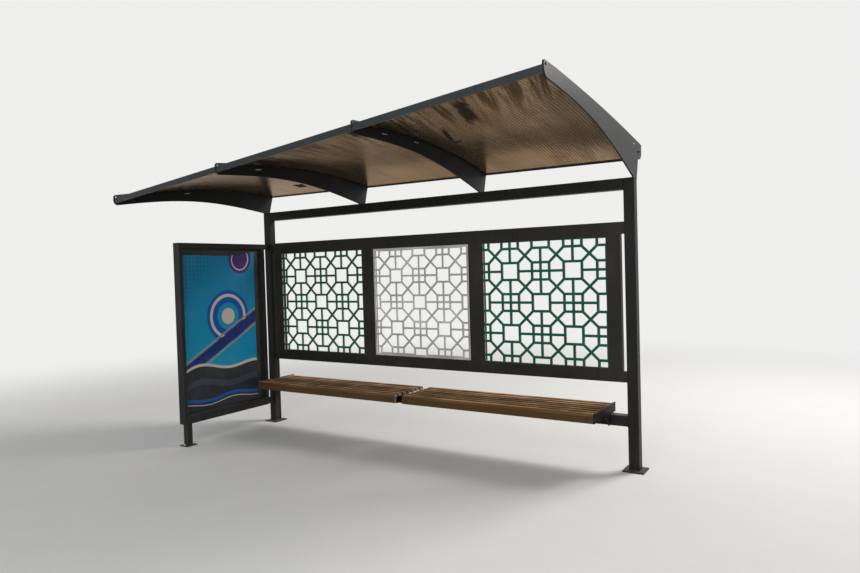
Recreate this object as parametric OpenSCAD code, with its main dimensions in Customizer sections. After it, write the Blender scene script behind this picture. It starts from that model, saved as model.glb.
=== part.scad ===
// Bus shelter: two posts, a twisted roof on four tapered arms, a back screen of
// three openwork panels, a slatted bench and a poster box set square to the wall.
// X runs along the shelter, the open side faces -Y, and the origin is the middle
// of the left post's base plate, at ground level.

/* [Main frame] */
// Distance between the centres of the two posts
post_spacing = 3750; // [3300:10:4600]
// Side of the square post tube
post_side = 80; // [60:1:100]
// Height of the post tops and of the beam's upper face above the ground
frame_height = 2180; // [2050:10:2500]
// Height of the beam between the post tops
beam_height = 84; // [60:1:110]

/* [Base plates] */
// Side of the square plate under each post
base_side = 160; // [150:1:220]
// Thickness of the base plates
base_thickness = 10; // [6:1:16]
// Distance between neighbouring anchor holes
anchor_spacing = 122; // [118:1:130]
// Diameter of the anchor holes
anchor_hole = 14; // [10:1:16]

/* [Roof arms] */
// Number of arms that carry the roof
arm_count = 4; // [3:1:6]
// Thickness of the plate that each arm is cut from
arm_thickness = 12; // [8:1:20]
// Reach of the arms in front of the posts
arm_reach = 1660; // [1300:10:1900]
// Rise of the first arm's nose above its level position
left_nose_rise = -30; // [-60:5:100]
// Rise of the last arm's nose above its level position
right_nose_rise = 350; // [150:5:450]
// Height of the hollow in the lower edge
arch_height = 76; // [40:1:100]
// Height of the upper edge above the foot, at the nose
nose_height = 90; // [80:1:110]
// Height of the upper edge above the foot, at the heel
heel_height = 310; // [290:1:360]
// How far the heel reaches behind the front face of the post
heel_reach = 224; // [205:1:260]
// Height above the foot at which the heel's upright rear edge ends
heel_edge_height = 238; // [215:1:260]
// How far the heel's lower corner reaches behind the front face of the post
heel_corner_reach = 190; // [170:1:200]
// Height of the heel's lower corner above the foot
heel_corner_height = 190; // [180:1:205]
// How far the heel's waist reaches behind the front face of the post
heel_waist_reach = 126; // [105:1:150]
// Height of the heel's waist above the foot
heel_waist_height = 168; // [150:1:175]
// Bulge of the upper edge over a straight line
top_bulge = 18; // [10:1:24]
// Radius of the round nose
nose_radius = 22; // [16:1:30]
// Radius of the round lower front corner
chin_radius = 36; // [28:1:50]
// Diameter of the eye through the nose
eye_diameter = 18; // [8:1:22]

/* [Roof sheets] */
// Thickness of the hollow plastic sheets
sheet_thickness = 10; // [6:1:10]
// Height of the sheet's underside above the arm's foot, at its crown
crown_height = 200; // [190:1:210]
// Distance of the crown in front of the posts
crown_reach = 400; // [300:10:500]
// Radius that the sheets are bent to
bend_radius = 5400; // [5200:50:6000]
// Distance from the nose back to the front of the bar along the sheets' front edge
sheet_front_inset = 6; // [4:1:20]
// How far the sheets reach behind the front face of the post
sheet_rear_reach = 125; // [100:1:150]
// Width of the ledges on the arms that carry the sheets
ledge_width = 18; // [10:1:25]
// Thickness of the ledges
ledge_thickness = 5; // [3:1:8]
// Height of the bar along the sheets' front edge
fascia_height = 45; // [30:1:50]
// Thickness of that bar
fascia_thickness = 8; // [5:1:12]
// Height of the channel along the sheets' rear edge
channel_height = 26; // [22:1:36]
// Depth of that channel
channel_depth = 22; // [16:1:30]
// Wall of that channel
channel_wall = 3; // [2:1:5]

/* [Back screen] */
// Height of the screen's lower edge above the ground
screen_bottom = 660; // [600:10:760]
// Height of the bottom rail
bottom_rail_height = 100; // [60:1:130]
// Height of the top rail
top_rail_height = 110; // [60:1:130]
// Height of the openings between the rails
opening_height = 990; // [800:10:1050]
// Depth of the screen's rails and stiles
screen_depth = 50; // [40:1:60]
// Width of the stile next to each post
end_stile_width = 106; // [80:1:150]
// Width of each stile between two panels
stile_width = 135; // [80:1:180]
// Width of the left and the right opening
outer_opening_width = 1052; // [800:1:1100]
// Clear slot between a post and the stile next to it
slot_width = 35; // [15:1:50]
// How far that slot reaches past the openings, above and below
slot_overrun = 20; // [5:1:40]

/* [Lattice] */
// Periods of the pattern across and up each panel
lattice_periods = 4; // [2:2:6]
// Thickness of the openwork panels
lattice_thickness = 10; // [6:1:16]
// Distance of the panels behind the front of the screen's rails
lattice_setback = 2; // [0:1:20]
// Width of the bars in the pattern
bar_width = 20; // [14:1:24]
// Side of a square in the pattern, as a share of one period
square_share = 0.54; // [0.48:0.01:0.6]
// Width of the plain border of the two outer panels
outer_border = 8; // [6:1:30]
// Width of the plain border of the middle panel
middle_border = 20; // [10:1:40]

/* [Bench] */
// Height of the seat's front edge above the ground
seat_height = 488; // [460:1:520]
// How far the seat's front edge stands in front of the post centres
seat_front = 400; // [360:5:480]
// Slope of the seat down towards its rear, in degrees
seat_slope = 0.5; // [0:0.5:3]
// Number of slats in the seat
slat_count = 7; // [5:1:9]
// Width of each slat
slat_width = 54; // [40:1:58]
// Thickness of each slat
slat_thickness = 25; // [20:1:35]
// Gap between two slats
slat_gap = 12; // [5:1:15]
// Distance from the post's inner face to the bench's end
bench_inset = 132; // [80:1:200]
// Gap between the two bench units
unit_gap = 74; // [20:1:120]
// Height of the board under the seat's front edge
apron_height = 48; // [35:1:60]
// Thickness of that board
apron_thickness = 26; // [15:1:30]
// Thickness of the plates that carry the slats
bracket_thickness = 10; // [6:1:16]
// Height of those plates at the front, below the slats
bracket_front_height = 48; // [40:1:60]
// How far the lower edge of those plates stays flat behind the seat's front edge
bracket_straight = 140; // [60:5:200]
// How far those plates reach along the rail's front before their arch begins
bracket_tail = 24; // [15:1:60]
// How far the end plates reach behind the last slat
bracket_rear_reach = 50; // [0:1:60]
// Distance from the unit's inner end to its inner bracket
inner_bracket_inset = 260; // [100:10:500]
// Height of the rail's underside above the ground
rail_bottom = 332; // [300:1:350]
// Height of the rail between the posts
rail_height = 80; // [60:1:90]

/* [Poster box] */
// Length of the box, square to the wall
box_length = 1022; // [800:10:1200]
// Height of the box
box_height = 1650; // [1400:10:1800]
// Thickness of the box
box_thickness = 80; // [60:1:120]
// Height of the box's underside above the ground
box_bottom = 200; // [120:10:300]
// Clear gap between the box and the post
box_gap = 84; // [50:1:150]
// Width of the bar at the box's front end
box_front_bar = 36; // [25:1:60]
// Width of the bar at the box's rear end
box_rear_bar = 44; // [30:1:140]
// Height of the box's top bar
box_top_bar = 50; // [30:1:140]
// Height of the box's bottom bar
box_bottom_bar = 76; // [40:1:100]
// Thickness of the board that the posters lie on
board_thickness = 12; // [8:1:16]
// Height of the bare board above the posters
poster_top_margin = 72; // [10:1:120]
// Width of the bare board between the posters and the rear bar
poster_rear_margin = 76; // [10:1:120]
// Thickness of each poster
poster_thickness = 2; // [1:0.5:4]
// Length of the leg's section along the box
leg_depth = 50; // [40:1:60]
// Width of the leg's section
leg_width = 60; // [40:1:70]
// Distance from the box's front end to the leg
leg_inset = 30; // [10:1:60]
// Side of the square plate under the leg
foot_side = 110; // [100:1:130]
// Thickness of that plate
foot_thickness = 8; // [6:1:12]
// Height of the upper link between box and post
upper_link_height = 50; // [30:1:70]
// Height of the lower link between box and post
lower_link_height = 60; // [40:1:90]
// Thickness of both links
link_thickness = 30; // [10:1:40]

/* [Hidden] */
// Clearance between pieces that meet without a weld
fit = 0.3;
// Length that a cut runs past the solid it goes through
past = 1;

// Main frame
post_half = post_side / 2;
inner_left = post_half;
inner_right = post_spacing - post_half;

// Roof: s is the distance in front of the posts' front faces, h the height over the frame
first_arm_x = -post_half + arm_thickness / 2;
last_arm_x = post_spacing + post_half - arm_thickness / 2;
arm_pitch = (last_arm_x - first_arm_x) / (arm_count - 1);
sheet_front = arm_reach - sheet_front_inset;
sheet_end = sheet_front - fascia_thickness - fit;

// Back screen
screen_top = screen_bottom + bottom_rail_height + opening_height + top_rail_height;
opening_bottom = screen_bottom + bottom_rail_height;
screen_left = inner_left + slot_width;
screen_right = inner_right - slot_width;
middle_opening_left = screen_left + end_stile_width + outer_opening_width + stile_width;
middle_opening_right = screen_right - end_stile_width - outer_opening_width - stile_width;
opening_left = [screen_left + end_stile_width, middle_opening_left,
    middle_opening_right + stile_width];
opening_width = [outer_opening_width, middle_opening_right - middle_opening_left,
    outer_opening_width];
lattice_rear = -screen_depth / 2 + lattice_setback + lattice_thickness;

// Bench
slat_pitch = slat_width + slat_gap;
seat_depth = slat_count * slat_pitch - slat_gap;
seat_rear = seat_depth - seat_front;
bench_left = inner_left + bench_inset;
bench_right = inner_right - bench_inset;
bench_middle = (bench_left + bench_right) / 2;
slat_length = bench_middle - unit_gap / 2 - bench_left - bracket_thickness - 2 * fit;
rail_top = rail_bottom + rail_height;

// Poster box
box_rear = -post_half - box_gap;
box_front = box_rear - box_length;
box_top = box_bottom + box_height;
board_length = box_length - box_front_bar - box_rear_bar;
board_height = box_height - box_top_bar - box_bottom_bar;
leg_front = box_front + leg_inset;

function arm_x(i) = first_arm_x + i * arm_pitch;

// Rise of the roof over its level position, at a place along it and a distance in front
function lift(x, s) =
    (left_nose_rise + (right_nose_rise - left_nose_rise)
        * (x - first_arm_x) / (last_arm_x - first_arm_x)) * s / arm_reach;

// Underside of the roof sheets on a level arm
function sheet_under(s) =
    crown_height - bend_radius + sqrt(pow(bend_radius, 2) - pow(s - crown_reach, 2));

// Lower and upper edge of a level arm
function arm_lower(s) = arch_height * sin(180 * s / arm_reach);
function arm_upper(s) =
    nose_height + (heel_height - nose_height) * (arm_reach - s) / (arm_reach + heel_reach)
    + top_bulge * sin(180 * (s + heel_reach) / (arm_reach + heel_reach));

function arc(cs, ch, r, from, to, steps) =
    [for (i = [0 : steps]) let (a = from + (to - from) * i / steps)
        [cs + r * cos(a), ch + r * sin(a)]];

nose_s = arm_reach - nose_radius;
nose_h = nose_height - nose_radius;
chin_s = arm_reach - chin_radius;
chin_h = arm_lower(chin_s) + chin_radius;

// Outline of a level arm, as points [s, h], from the foot round the nose to the heel
function arm_outline() = concat(
    [for (i = [0 : 18]) let (s = chin_s * i / 19) [s, arm_lower(s)]],
    arc(chin_s, chin_h, chin_radius, -90, 0, 6),
    arc(nose_s, nose_h, nose_radius, 0, 90, 6),
    [for (i = [1 : 12]) let (s = nose_s - (nose_s + heel_reach) * i / 12) [s, arm_upper(s)]],
    [[-heel_reach, heel_edge_height], [-heel_corner_reach, heel_corner_height],
     [-heel_waist_reach, heel_waist_height], [-post_side, 0]]
);

// Section of a strip that follows the sheets, as points [s, height over their underside]
function strip(s0, s1, low, high, steps) = concat(
    [for (i = [0 : steps]) [s0 + (s1 - s0) * i / steps, low]],
    [for (i = [steps : -1 : 0]) [s0 + (s1 - s0) * i / steps, high]]
);

// End faces of a solid with a given section: whole, or cut into quads if it is a bent strip
function whole_end(section) = [[for (k = [0 : len(section) - 1]) k]];
function strip_end(section) =
    let (last = len(section) - 1)
    [for (k = [0 : (last - 3) / 2]) [k, k + 1, last - 1 - k, last - k]];

// Solid that carries one section from one place along the roof to another, with its twist
module roof_bar(x0, x1, section, end) {
    count = len(section);
    points = [for (x = [x0, x1], p = section)
        [x, -post_half - p[0], frame_height + sheet_under(p[0]) + lift(x, p[0]) + p[1]]];
    sides = [for (k = [0 : count - 1])
        let (a = k, b = (k + 1) % count)
        for (t = [[a, b, b + count], [a, b + count, a + count]]) t];
    ends = [for (face = end, side = [0, 1])
        [for (k = [0 : len(face) - 1]) side == 0 ? face[len(face) - 1 - k] : count + face[k]]];
    polyhedron(points, concat(sides, ends), convexity = 6);
}

// Main frame

module base_plate(x) {
    color([0.13, 0.13, 0.14])
    difference() {
        translate([x - base_side / 2, -base_side / 2, 0])
            cube([base_side, base_side, base_thickness]);
        for (dx = [-1, 1], dy = [-1, 1])
            translate([x + dx * anchor_spacing / 2, dy * anchor_spacing / 2, -past])
                cylinder(h = base_thickness + 2 * past, d = anchor_hole, $fn = 48);
    }
}

module post(x) {
    color([0.16, 0.16, 0.17])
    translate([x - post_half, -post_half, base_thickness])
        cube([post_side, post_side, frame_height - base_thickness]);
}

module top_beam() {
    color([0.16, 0.16, 0.17])
    translate([inner_left, -post_half, frame_height - beam_height])
        cube([inner_right - inner_left, post_side, beam_height]);
}

// Roof

module roof_arm(i) {
    x = arm_x(i);
    color([0.2, 0.22, 0.24])
    translate([x, -post_half, frame_height])
    rotate([90, 0, -90])
    translate([0, 0, -arm_thickness / 2])
    difference() {
        linear_extrude(arm_thickness)
            polygon([for (p = arm_outline()) [p[0], p[1] + lift(x, p[0])]]);
        translate([nose_s, nose_h + lift(x, nose_s), -past])
            cylinder(h = arm_thickness + 2 * past, d = eye_diameter, $fn = 48);
    }
}

module sheet_ledges(bay) {
    left_face = arm_x(bay) + arm_thickness / 2;
    right_face = arm_x(bay + 1) - arm_thickness / 2;
    color([0.15, 0.15, 0.16])
    for (x = [left_face, right_face - ledge_width])
        translate([x + ledge_width, -post_half, frame_height])
        rotate([90, 0, -90])
        linear_extrude(ledge_width)
            polygon([for (p = strip(-sheet_rear_reach + channel_depth + fit, sheet_end,
                    -fit - ledge_thickness, -fit, 24))
                [p[0], sheet_under(p[0]) + lift(x, p[0]) + p[1]]]);
}

module roof_sheet(bay) {
    section = strip(-sheet_rear_reach + channel_wall + fit, sheet_end, 0, sheet_thickness, 24);
    color([0.42, 0.31, 0.22])
    roof_bar(arm_x(bay) + arm_thickness / 2 + fit, arm_x(bay + 1) - arm_thickness / 2 - fit,
        section, strip_end(section));
}

module roof_fascia() {
    section = strip(sheet_front - fascia_thickness, sheet_front,
        sheet_thickness - fascia_height, sheet_thickness, 1);
    color([0.3, 0.36, 0.42])
    for (bay = [0 : arm_count - 2])
        roof_bar(arm_x(bay) + arm_thickness / 2, arm_x(bay + 1) - arm_thickness / 2,
            section, strip_end(section));
}

module roof_rear_channel() {
    drop = (channel_height - sheet_thickness) / 2;
    back = -sheet_rear_reach;
    front = back + channel_depth;
    wall = back + channel_wall;
    upper = sheet_thickness + fit;
    section = [
        [back, -drop], [wall, -drop], [wall, -fit - channel_wall], [front, -fit - channel_wall],
        [front, -fit], [wall, -fit], [wall, upper], [front, upper],
        [front, upper + channel_wall], [wall, upper + channel_wall],
        [wall, sheet_thickness + drop], [back, sheet_thickness + drop],
    ];
    color([0.1, 0.1, 0.1])
    for (bay = [0 : arm_count - 2])
        roof_bar(arm_x(bay) + arm_thickness / 2, arm_x(bay + 1) - arm_thickness / 2,
            section, whole_end(section));
}

// Back screen

module screen_top_rail() {
    color([0.17, 0.17, 0.17])
    translate([inner_left, -screen_depth / 2, opening_bottom + opening_height])
    difference() {
        cube([inner_right - inner_left, screen_depth, top_rail_height]);
        for (x = [-past, inner_right - inner_left - slot_width])
            translate([x, -past, -past])
                cube([slot_width + past, screen_depth + 2 * past, slot_overrun + past]);
    }
}

module screen_bottom_rail() {
    color([0.17, 0.17, 0.17])
    translate([inner_left, -screen_depth / 2, screen_bottom])
    difference() {
        cube([inner_right - inner_left, screen_depth, bottom_rail_height]);
        for (x = [-past, inner_right - inner_left - slot_width])
            translate([x, -past, bottom_rail_height - slot_overrun])
                cube([slot_width + past, screen_depth + 2 * past, slot_overrun + past]);
    }
}

module screen_stile(x, width) {
    color([0.17, 0.17, 0.17])
    translate([x, -screen_depth / 2, opening_bottom])
        cube([width, screen_depth, opening_height]);
}

// Outline of a rectangle with a hole, both about its own centre
module hollow_square(w, h, bar) {
    difference() {
        square([w, h], center = true);
        square([w - 2 * bar, h - 2 * bar], center = true);
    }
}

// Diagonal bar between two points
module diagonal_bar(from, to) {
    run = to - from;
    translate((from + to) / 2)
    rotate(atan2(run[1], run[0]))
        square([norm(run), bar_width], center = true);
}

// Pattern of blank squares and windows, joined by crossed diagonals
module lattice_pattern(w, h) {
    px = w / lattice_periods;
    pz = h / lattice_periods;
    sx = px * square_share;
    sz = pz * square_share;
    for (i = [0 : lattice_periods], j = [0 : lattice_periods])
        translate([i * px, j * pz])
            hollow_square(sx, sz, bar_width);
    for (i = [0 : lattice_periods], j = [0 : lattice_periods])
        if ((i + j) % 2 == 1)
            translate([i * px, j * pz]) {
                square([2 * px - sx + bar_width, bar_width], center = true);
                square([bar_width, 2 * pz - sz + bar_width], center = true);
            }
    for (i = [0 : lattice_periods - 1], j = [0 : lattice_periods - 1]) {
        corner_x = [i * px + (sx - bar_width) / 2, (i + 1) * px - (sx - bar_width) / 2];
        corner_z = [j * pz + (sz - bar_width) / 2, (j + 1) * pz - (sz - bar_width) / 2];
        diagonal_bar([corner_x[0], corner_z[0]], [corner_x[1], corner_z[1]]);
        diagonal_bar([corner_x[0], corner_z[1]], [corner_x[1], corner_z[0]]);
    }
}

module lattice_panel(i, border) {
    w = opening_width[i] - 2 * fit;
    h = opening_height - 2 * fit;
    translate([opening_left[i] + fit, lattice_rear, opening_bottom + fit])
    rotate([90, 0, 0])
    linear_extrude(lattice_thickness) {
        translate([w / 2, h / 2])
            hollow_square(w, h, border);
        intersection() {
            square([w, h]);
            translate([border, border])
                lattice_pattern(w - 2 * border, h - 2 * border);
        }
    }
}

// Bench

// Frame of the sloping seat: x along the bench, y to the rear and z square to the seat
module on_seat() {
    translate([0, -seat_front, seat_height])
    rotate([-seat_slope, 0, 0])
        children();
}

module seat_slats(x) {
    color([0.45, 0.3, 0.2])
    on_seat()
    for (i = [0 : slat_count - 1])
        translate([x, i * slat_pitch, -slat_thickness])
            cube([slat_length, slat_width, slat_thickness]);
}

module seat_apron(x) {
    color([0.3, 0.2, 0.14])
    on_seat()
    translate([x, 0, -slat_thickness - apron_height - fit])
        cube([slat_length, apron_thickness, apron_height]);
}

// Side outline of a bracket from front to rear, as points [y, z], with its upper edge below
// the seat's by a drop
function bracket_outline(front, rear, drop) =
    let (
        slope = tan(seat_slope),
        top_front = seat_height - drop - slope * (seat_front + front),
        tail = -post_half - bracket_tail,
        knee = -seat_front + bracket_straight,
        low = seat_height - slat_thickness - bracket_front_height
    )
    concat(
        [[front, top_front], [front, low]],
        [for (i = [0 : 8]) let (t = i / 8)
            [knee + (tail - knee) * sin(90 * t), rail_bottom + (low - rail_bottom) * cos(90 * t)]],
        [[-post_half - fit, rail_bottom], [-post_half - fit, rail_top + fit],
         [rear, rail_top + fit], [rear, seat_height - drop - slope * (seat_front + rear)]]
    );

module bracket_plate(x, front, rear, drop) {
    translate([x, 0, 0])
    rotate([90, 0, 90])
    linear_extrude(bracket_thickness)
        polygon(bracket_outline(front, rear, drop));
}

module seat_end_plate(x, ledge_x) {
    color([0.15, 0.15, 0.15])
    union() {
        bracket_plate(x, -seat_front, seat_rear + bracket_rear_reach, 0);
        on_seat()
        translate([ledge_x, apron_thickness + fit, -slat_thickness - fit - ledge_thickness])
            cube([bracket_thickness + 2 * ledge_width, seat_depth - apron_thickness - fit,
                ledge_thickness]);
    }
}

module seat_bracket(x) {
    color([0.15, 0.15, 0.15])
    bracket_plate(x, -seat_front + apron_thickness + fit, seat_rear, slat_thickness + fit);
}

module bench_rail() {
    color([0.16, 0.16, 0.17])
    translate([inner_left, -post_half, rail_bottom])
        cube([inner_right - inner_left, post_side, rail_height]);
}

// Poster box

module poster_box_end_bar(y, depth) {
    color([0.16, 0.16, 0.16])
    translate([-box_thickness / 2, y, box_bottom])
        cube([box_thickness, depth, box_height]);
}

module poster_box_cross_bar(z, height) {
    color([0.16, 0.16, 0.16])
    translate([-box_thickness / 2, box_front + box_front_bar, z])
        cube([box_thickness, board_length, height]);
}

module poster_board() {
    color([0.2, 0.2, 0.2])
    translate([-board_thickness / 2, box_front + box_front_bar, box_bottom + box_bottom_bar])
        cube([board_thickness, board_length, board_height]);
}

module posters() {
    color([0.1, 0.5, 0.6])
    for (x = [-board_thickness / 2 - fit - poster_thickness, board_thickness / 2 + fit])
        translate([x, box_front + box_front_bar + fit, box_bottom + box_bottom_bar + fit])
            cube([poster_thickness, board_length - poster_rear_margin - fit,
                board_height - poster_top_margin - fit]);
}

module poster_box_leg() {
    color([0.16, 0.16, 0.16])
    translate([-leg_width / 2, leg_front, foot_thickness])
        cube([leg_width, leg_depth, box_bottom - foot_thickness]);
}

module poster_box_foot() {
    color([0.13, 0.13, 0.14])
    translate([-foot_side / 2, leg_front + leg_depth / 2 - foot_side / 2, 0])
        cube([foot_side, foot_side, foot_thickness]);
}

module poster_box_links() {
    color([0.18, 0.18, 0.18])
    for (link = [[box_top - upper_link_height, upper_link_height],
                 [box_bottom, lower_link_height]])
        translate([-link_thickness / 2, box_rear, link[0]])
            cube([link_thickness, box_gap, link[1]]);
}

base_plate(0);  // base_plate_left
base_plate(post_spacing);  // base_plate_right
post(0);  // post_left
post(post_spacing);  // post_right
top_beam();
roof_arm(0);  // roof_arm_1
roof_arm(1);  // roof_arm_2
roof_arm(2);  // roof_arm_3
roof_arm(3);  // roof_arm_4
sheet_ledges(0);  // sheet_ledges_left
sheet_ledges(1);  // sheet_ledges_middle
sheet_ledges(2);  // sheet_ledges_right
roof_sheet(0);  // roof_sheet_left
roof_sheet(1);  // roof_sheet_middle
roof_sheet(2);  // roof_sheet_right
roof_fascia();
roof_rear_channel();
screen_top_rail();
screen_bottom_rail();
screen_stile(screen_left, end_stile_width);  // end_stile_left
screen_stile(screen_right - end_stile_width, end_stile_width);  // end_stile_right
screen_stile(middle_opening_left - stile_width, stile_width);  // middle_stile_left
screen_stile(middle_opening_right, stile_width);  // middle_stile_right
color([0.1, 0.28, 0.24]) lattice_panel(0, outer_border);  // lattice_left
color([0.62, 0.64, 0.64]) lattice_panel(1, middle_border);  // lattice_middle
color([0.1, 0.28, 0.24]) lattice_panel(2, outer_border);  // lattice_right
bench_rail();
seat_slats(bench_left + bracket_thickness + fit);  // seat_slats_left
seat_slats(bench_middle + unit_gap / 2);  // seat_slats_right
seat_apron(bench_left + bracket_thickness + fit);  // seat_apron_left
seat_apron(bench_middle + unit_gap / 2);  // seat_apron_right
seat_end_plate(bench_left, bench_left);  // seat_end_plate_left
seat_end_plate(bench_right - bracket_thickness,  // seat_end_plate_right
        bench_right - bracket_thickness - 2 * ledge_width);
seat_bracket(bench_middle - inner_bracket_inset - bracket_thickness / 2);  // seat_bracket_left
seat_bracket(bench_middle + inner_bracket_inset - bracket_thickness / 2);  // seat_bracket_right
poster_box_end_bar(box_front, box_front_bar);  // poster_box_front_bar
poster_box_end_bar(box_rear - box_rear_bar, box_rear_bar);  // poster_box_rear_bar
poster_box_cross_bar(box_top - box_top_bar, box_top_bar);  // poster_box_top_bar
poster_box_cross_bar(box_bottom, box_bottom_bar);  // poster_box_bottom_bar
poster_board();
posters();
poster_box_leg();
poster_box_foot();
poster_box_links();
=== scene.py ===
"""Looks of a bus shelter: painted steel, hollow roof sheets, lattice screens, bench and poster box.

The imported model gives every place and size, in metres. Each class dresses one sub-assembly: it gives
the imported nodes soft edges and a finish, and adds what a maker fits last, such as weld beads, screws,
seals, boards and prints.
"""
import logging
import math
import random
from dataclasses import dataclass, field
from enum import Enum
from typing import Iterable, Optional, Sequence, Union

import bmesh
import bpy
from mathutils import Matrix, Vector
from mathutils.geometry import delaunay_2d_cdt


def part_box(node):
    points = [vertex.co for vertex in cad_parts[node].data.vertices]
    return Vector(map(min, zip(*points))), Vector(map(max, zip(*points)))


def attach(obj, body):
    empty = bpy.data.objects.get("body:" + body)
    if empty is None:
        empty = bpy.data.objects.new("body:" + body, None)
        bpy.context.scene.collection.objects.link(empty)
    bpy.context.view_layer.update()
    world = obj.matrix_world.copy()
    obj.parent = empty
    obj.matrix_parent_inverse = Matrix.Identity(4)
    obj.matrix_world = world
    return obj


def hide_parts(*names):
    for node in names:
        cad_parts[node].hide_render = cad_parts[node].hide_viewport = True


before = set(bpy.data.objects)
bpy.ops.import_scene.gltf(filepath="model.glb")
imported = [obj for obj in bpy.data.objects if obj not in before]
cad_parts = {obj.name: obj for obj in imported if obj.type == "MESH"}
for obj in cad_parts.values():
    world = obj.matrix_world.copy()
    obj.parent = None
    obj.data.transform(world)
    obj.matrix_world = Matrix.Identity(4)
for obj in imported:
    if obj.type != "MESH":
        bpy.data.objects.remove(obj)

log = logging.getLogger("shelter")

Colour = tuple[float, float, float]
Point = Sequence[float]
Operand = Union["Link", float, int]
Outline = tuple[list[tuple[float, float]], list[list[int]]]

MM = 0.001
BODY = "root"
ARMS = range(1, 5)
FADED = 1.5      # how much lighter paint is where the sun has bleached it
SOILED = 0.6     # how much darker paint is where water has run
FIRM_ANGLE = 35.0    # degrees under which an edge is shaded smooth
SOFT_ANGLE = 60.0    # the same on rounded and rippled pieces


class Side(Enum):
    """The two ends of the shelter, or the two faces of a board that stands along Y."""

    LEFT = "left"
    RIGHT = "right"


class Bay(Enum):
    """The three bays of the roof and of the screen."""

    LEFT = "left"
    MIDDLE = "middle"
    RIGHT = "right"


# Shader graphs


class Link:
    """An output socket of a graph, on which Python's operators work as Math nodes."""

    def __init__(self, graph: "Graph", socket: bpy.types.NodeSocket) -> None:
        """Keeps the graph and the socket."""
        self.graph = graph
        self.socket = socket

    def _math(self, operation: str, first: Operand, second: Operand = 0.0) -> "Link":
        """Result of a Math node of that operation."""
        return self.graph.add("ShaderNodeMath", {"operation": operation}, {0: first, 1: second})[0]

    def __add__(self, other: Operand) -> "Link":
        """Sum."""
        return self._math("ADD", self, other)

    def __radd__(self, other: Operand) -> "Link":
        """Reflected sum."""
        return self._math("ADD", other, self)

    def __sub__(self, other: Operand) -> "Link":
        """Difference."""
        return self._math("SUBTRACT", self, other)

    def __rsub__(self, other: Operand) -> "Link":
        """Reflected difference."""
        return self._math("SUBTRACT", other, self)

    def __mul__(self, other: Operand) -> "Link":
        """Product."""
        return self._math("MULTIPLY", self, other)

    def __rmul__(self, other: Operand) -> "Link":
        """Reflected product."""
        return self._math("MULTIPLY", other, self)

    def __truediv__(self, other: Operand) -> "Link":
        """Quotient."""
        return self._math("DIVIDE", self, other)

    def __rtruediv__(self, other: Operand) -> "Link":
        """Reflected quotient."""
        return self._math("DIVIDE", other, self)

    def __pow__(self, other: Operand) -> "Link":
        """Power."""
        return self._math("POWER", self, other)

    def __rpow__(self, other: Operand) -> "Link":
        """Reflected power."""
        return self._math("POWER", other, self)

    def __abs__(self) -> "Link":
        """Size without sign."""
        return self._math("ABSOLUTE", self)

    def __or__(self, other: Operand) -> "Link":
        """The greater of two masks."""
        return self._math("MAXIMUM", self, other)

    def __ror__(self, other: Operand) -> "Link":
        """Reflected form of the greater of two masks."""
        return self._math("MAXIMUM", other, self)

    def part(self) -> "Link":
        """What stands behind the decimal point."""
        return self._math("FRACT", self)

    def whole(self) -> "Link":
        """The whole number below."""
        return self._math("FLOOR", self)

    def sine(self) -> "Link":
        """Sine of an angle in radians."""
        return self._math("SINE", self)

    def rise(self, low: Operand, high: Operand) -> "Link":
        """Mask that climbs smoothly from 0 at low to 1 at high."""
        return self.graph.add("ShaderNodeMapRange", {"interpolation_type": "SMOOTHSTEP"},
                              {"Value": self, "From Min": low, "From Max": high})[0]

    def fall(self, low: Operand, high: Operand) -> "Link":
        """Mask that drops smoothly from 1 at low to 0 at high."""
        return 1.0 - self.rise(low, high)


class Made:
    """A node in a graph, whose outputs are taken by name or number."""

    def __init__(self, graph: "Graph", node: bpy.types.Node) -> None:
        """Keeps the graph and the node."""
        self.graph = graph
        self.node = node

    def __getitem__(self, key: Union[str, int]) -> Link:
        """The output of that name or number."""
        return Link(self.graph, self.node.outputs[key])


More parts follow.
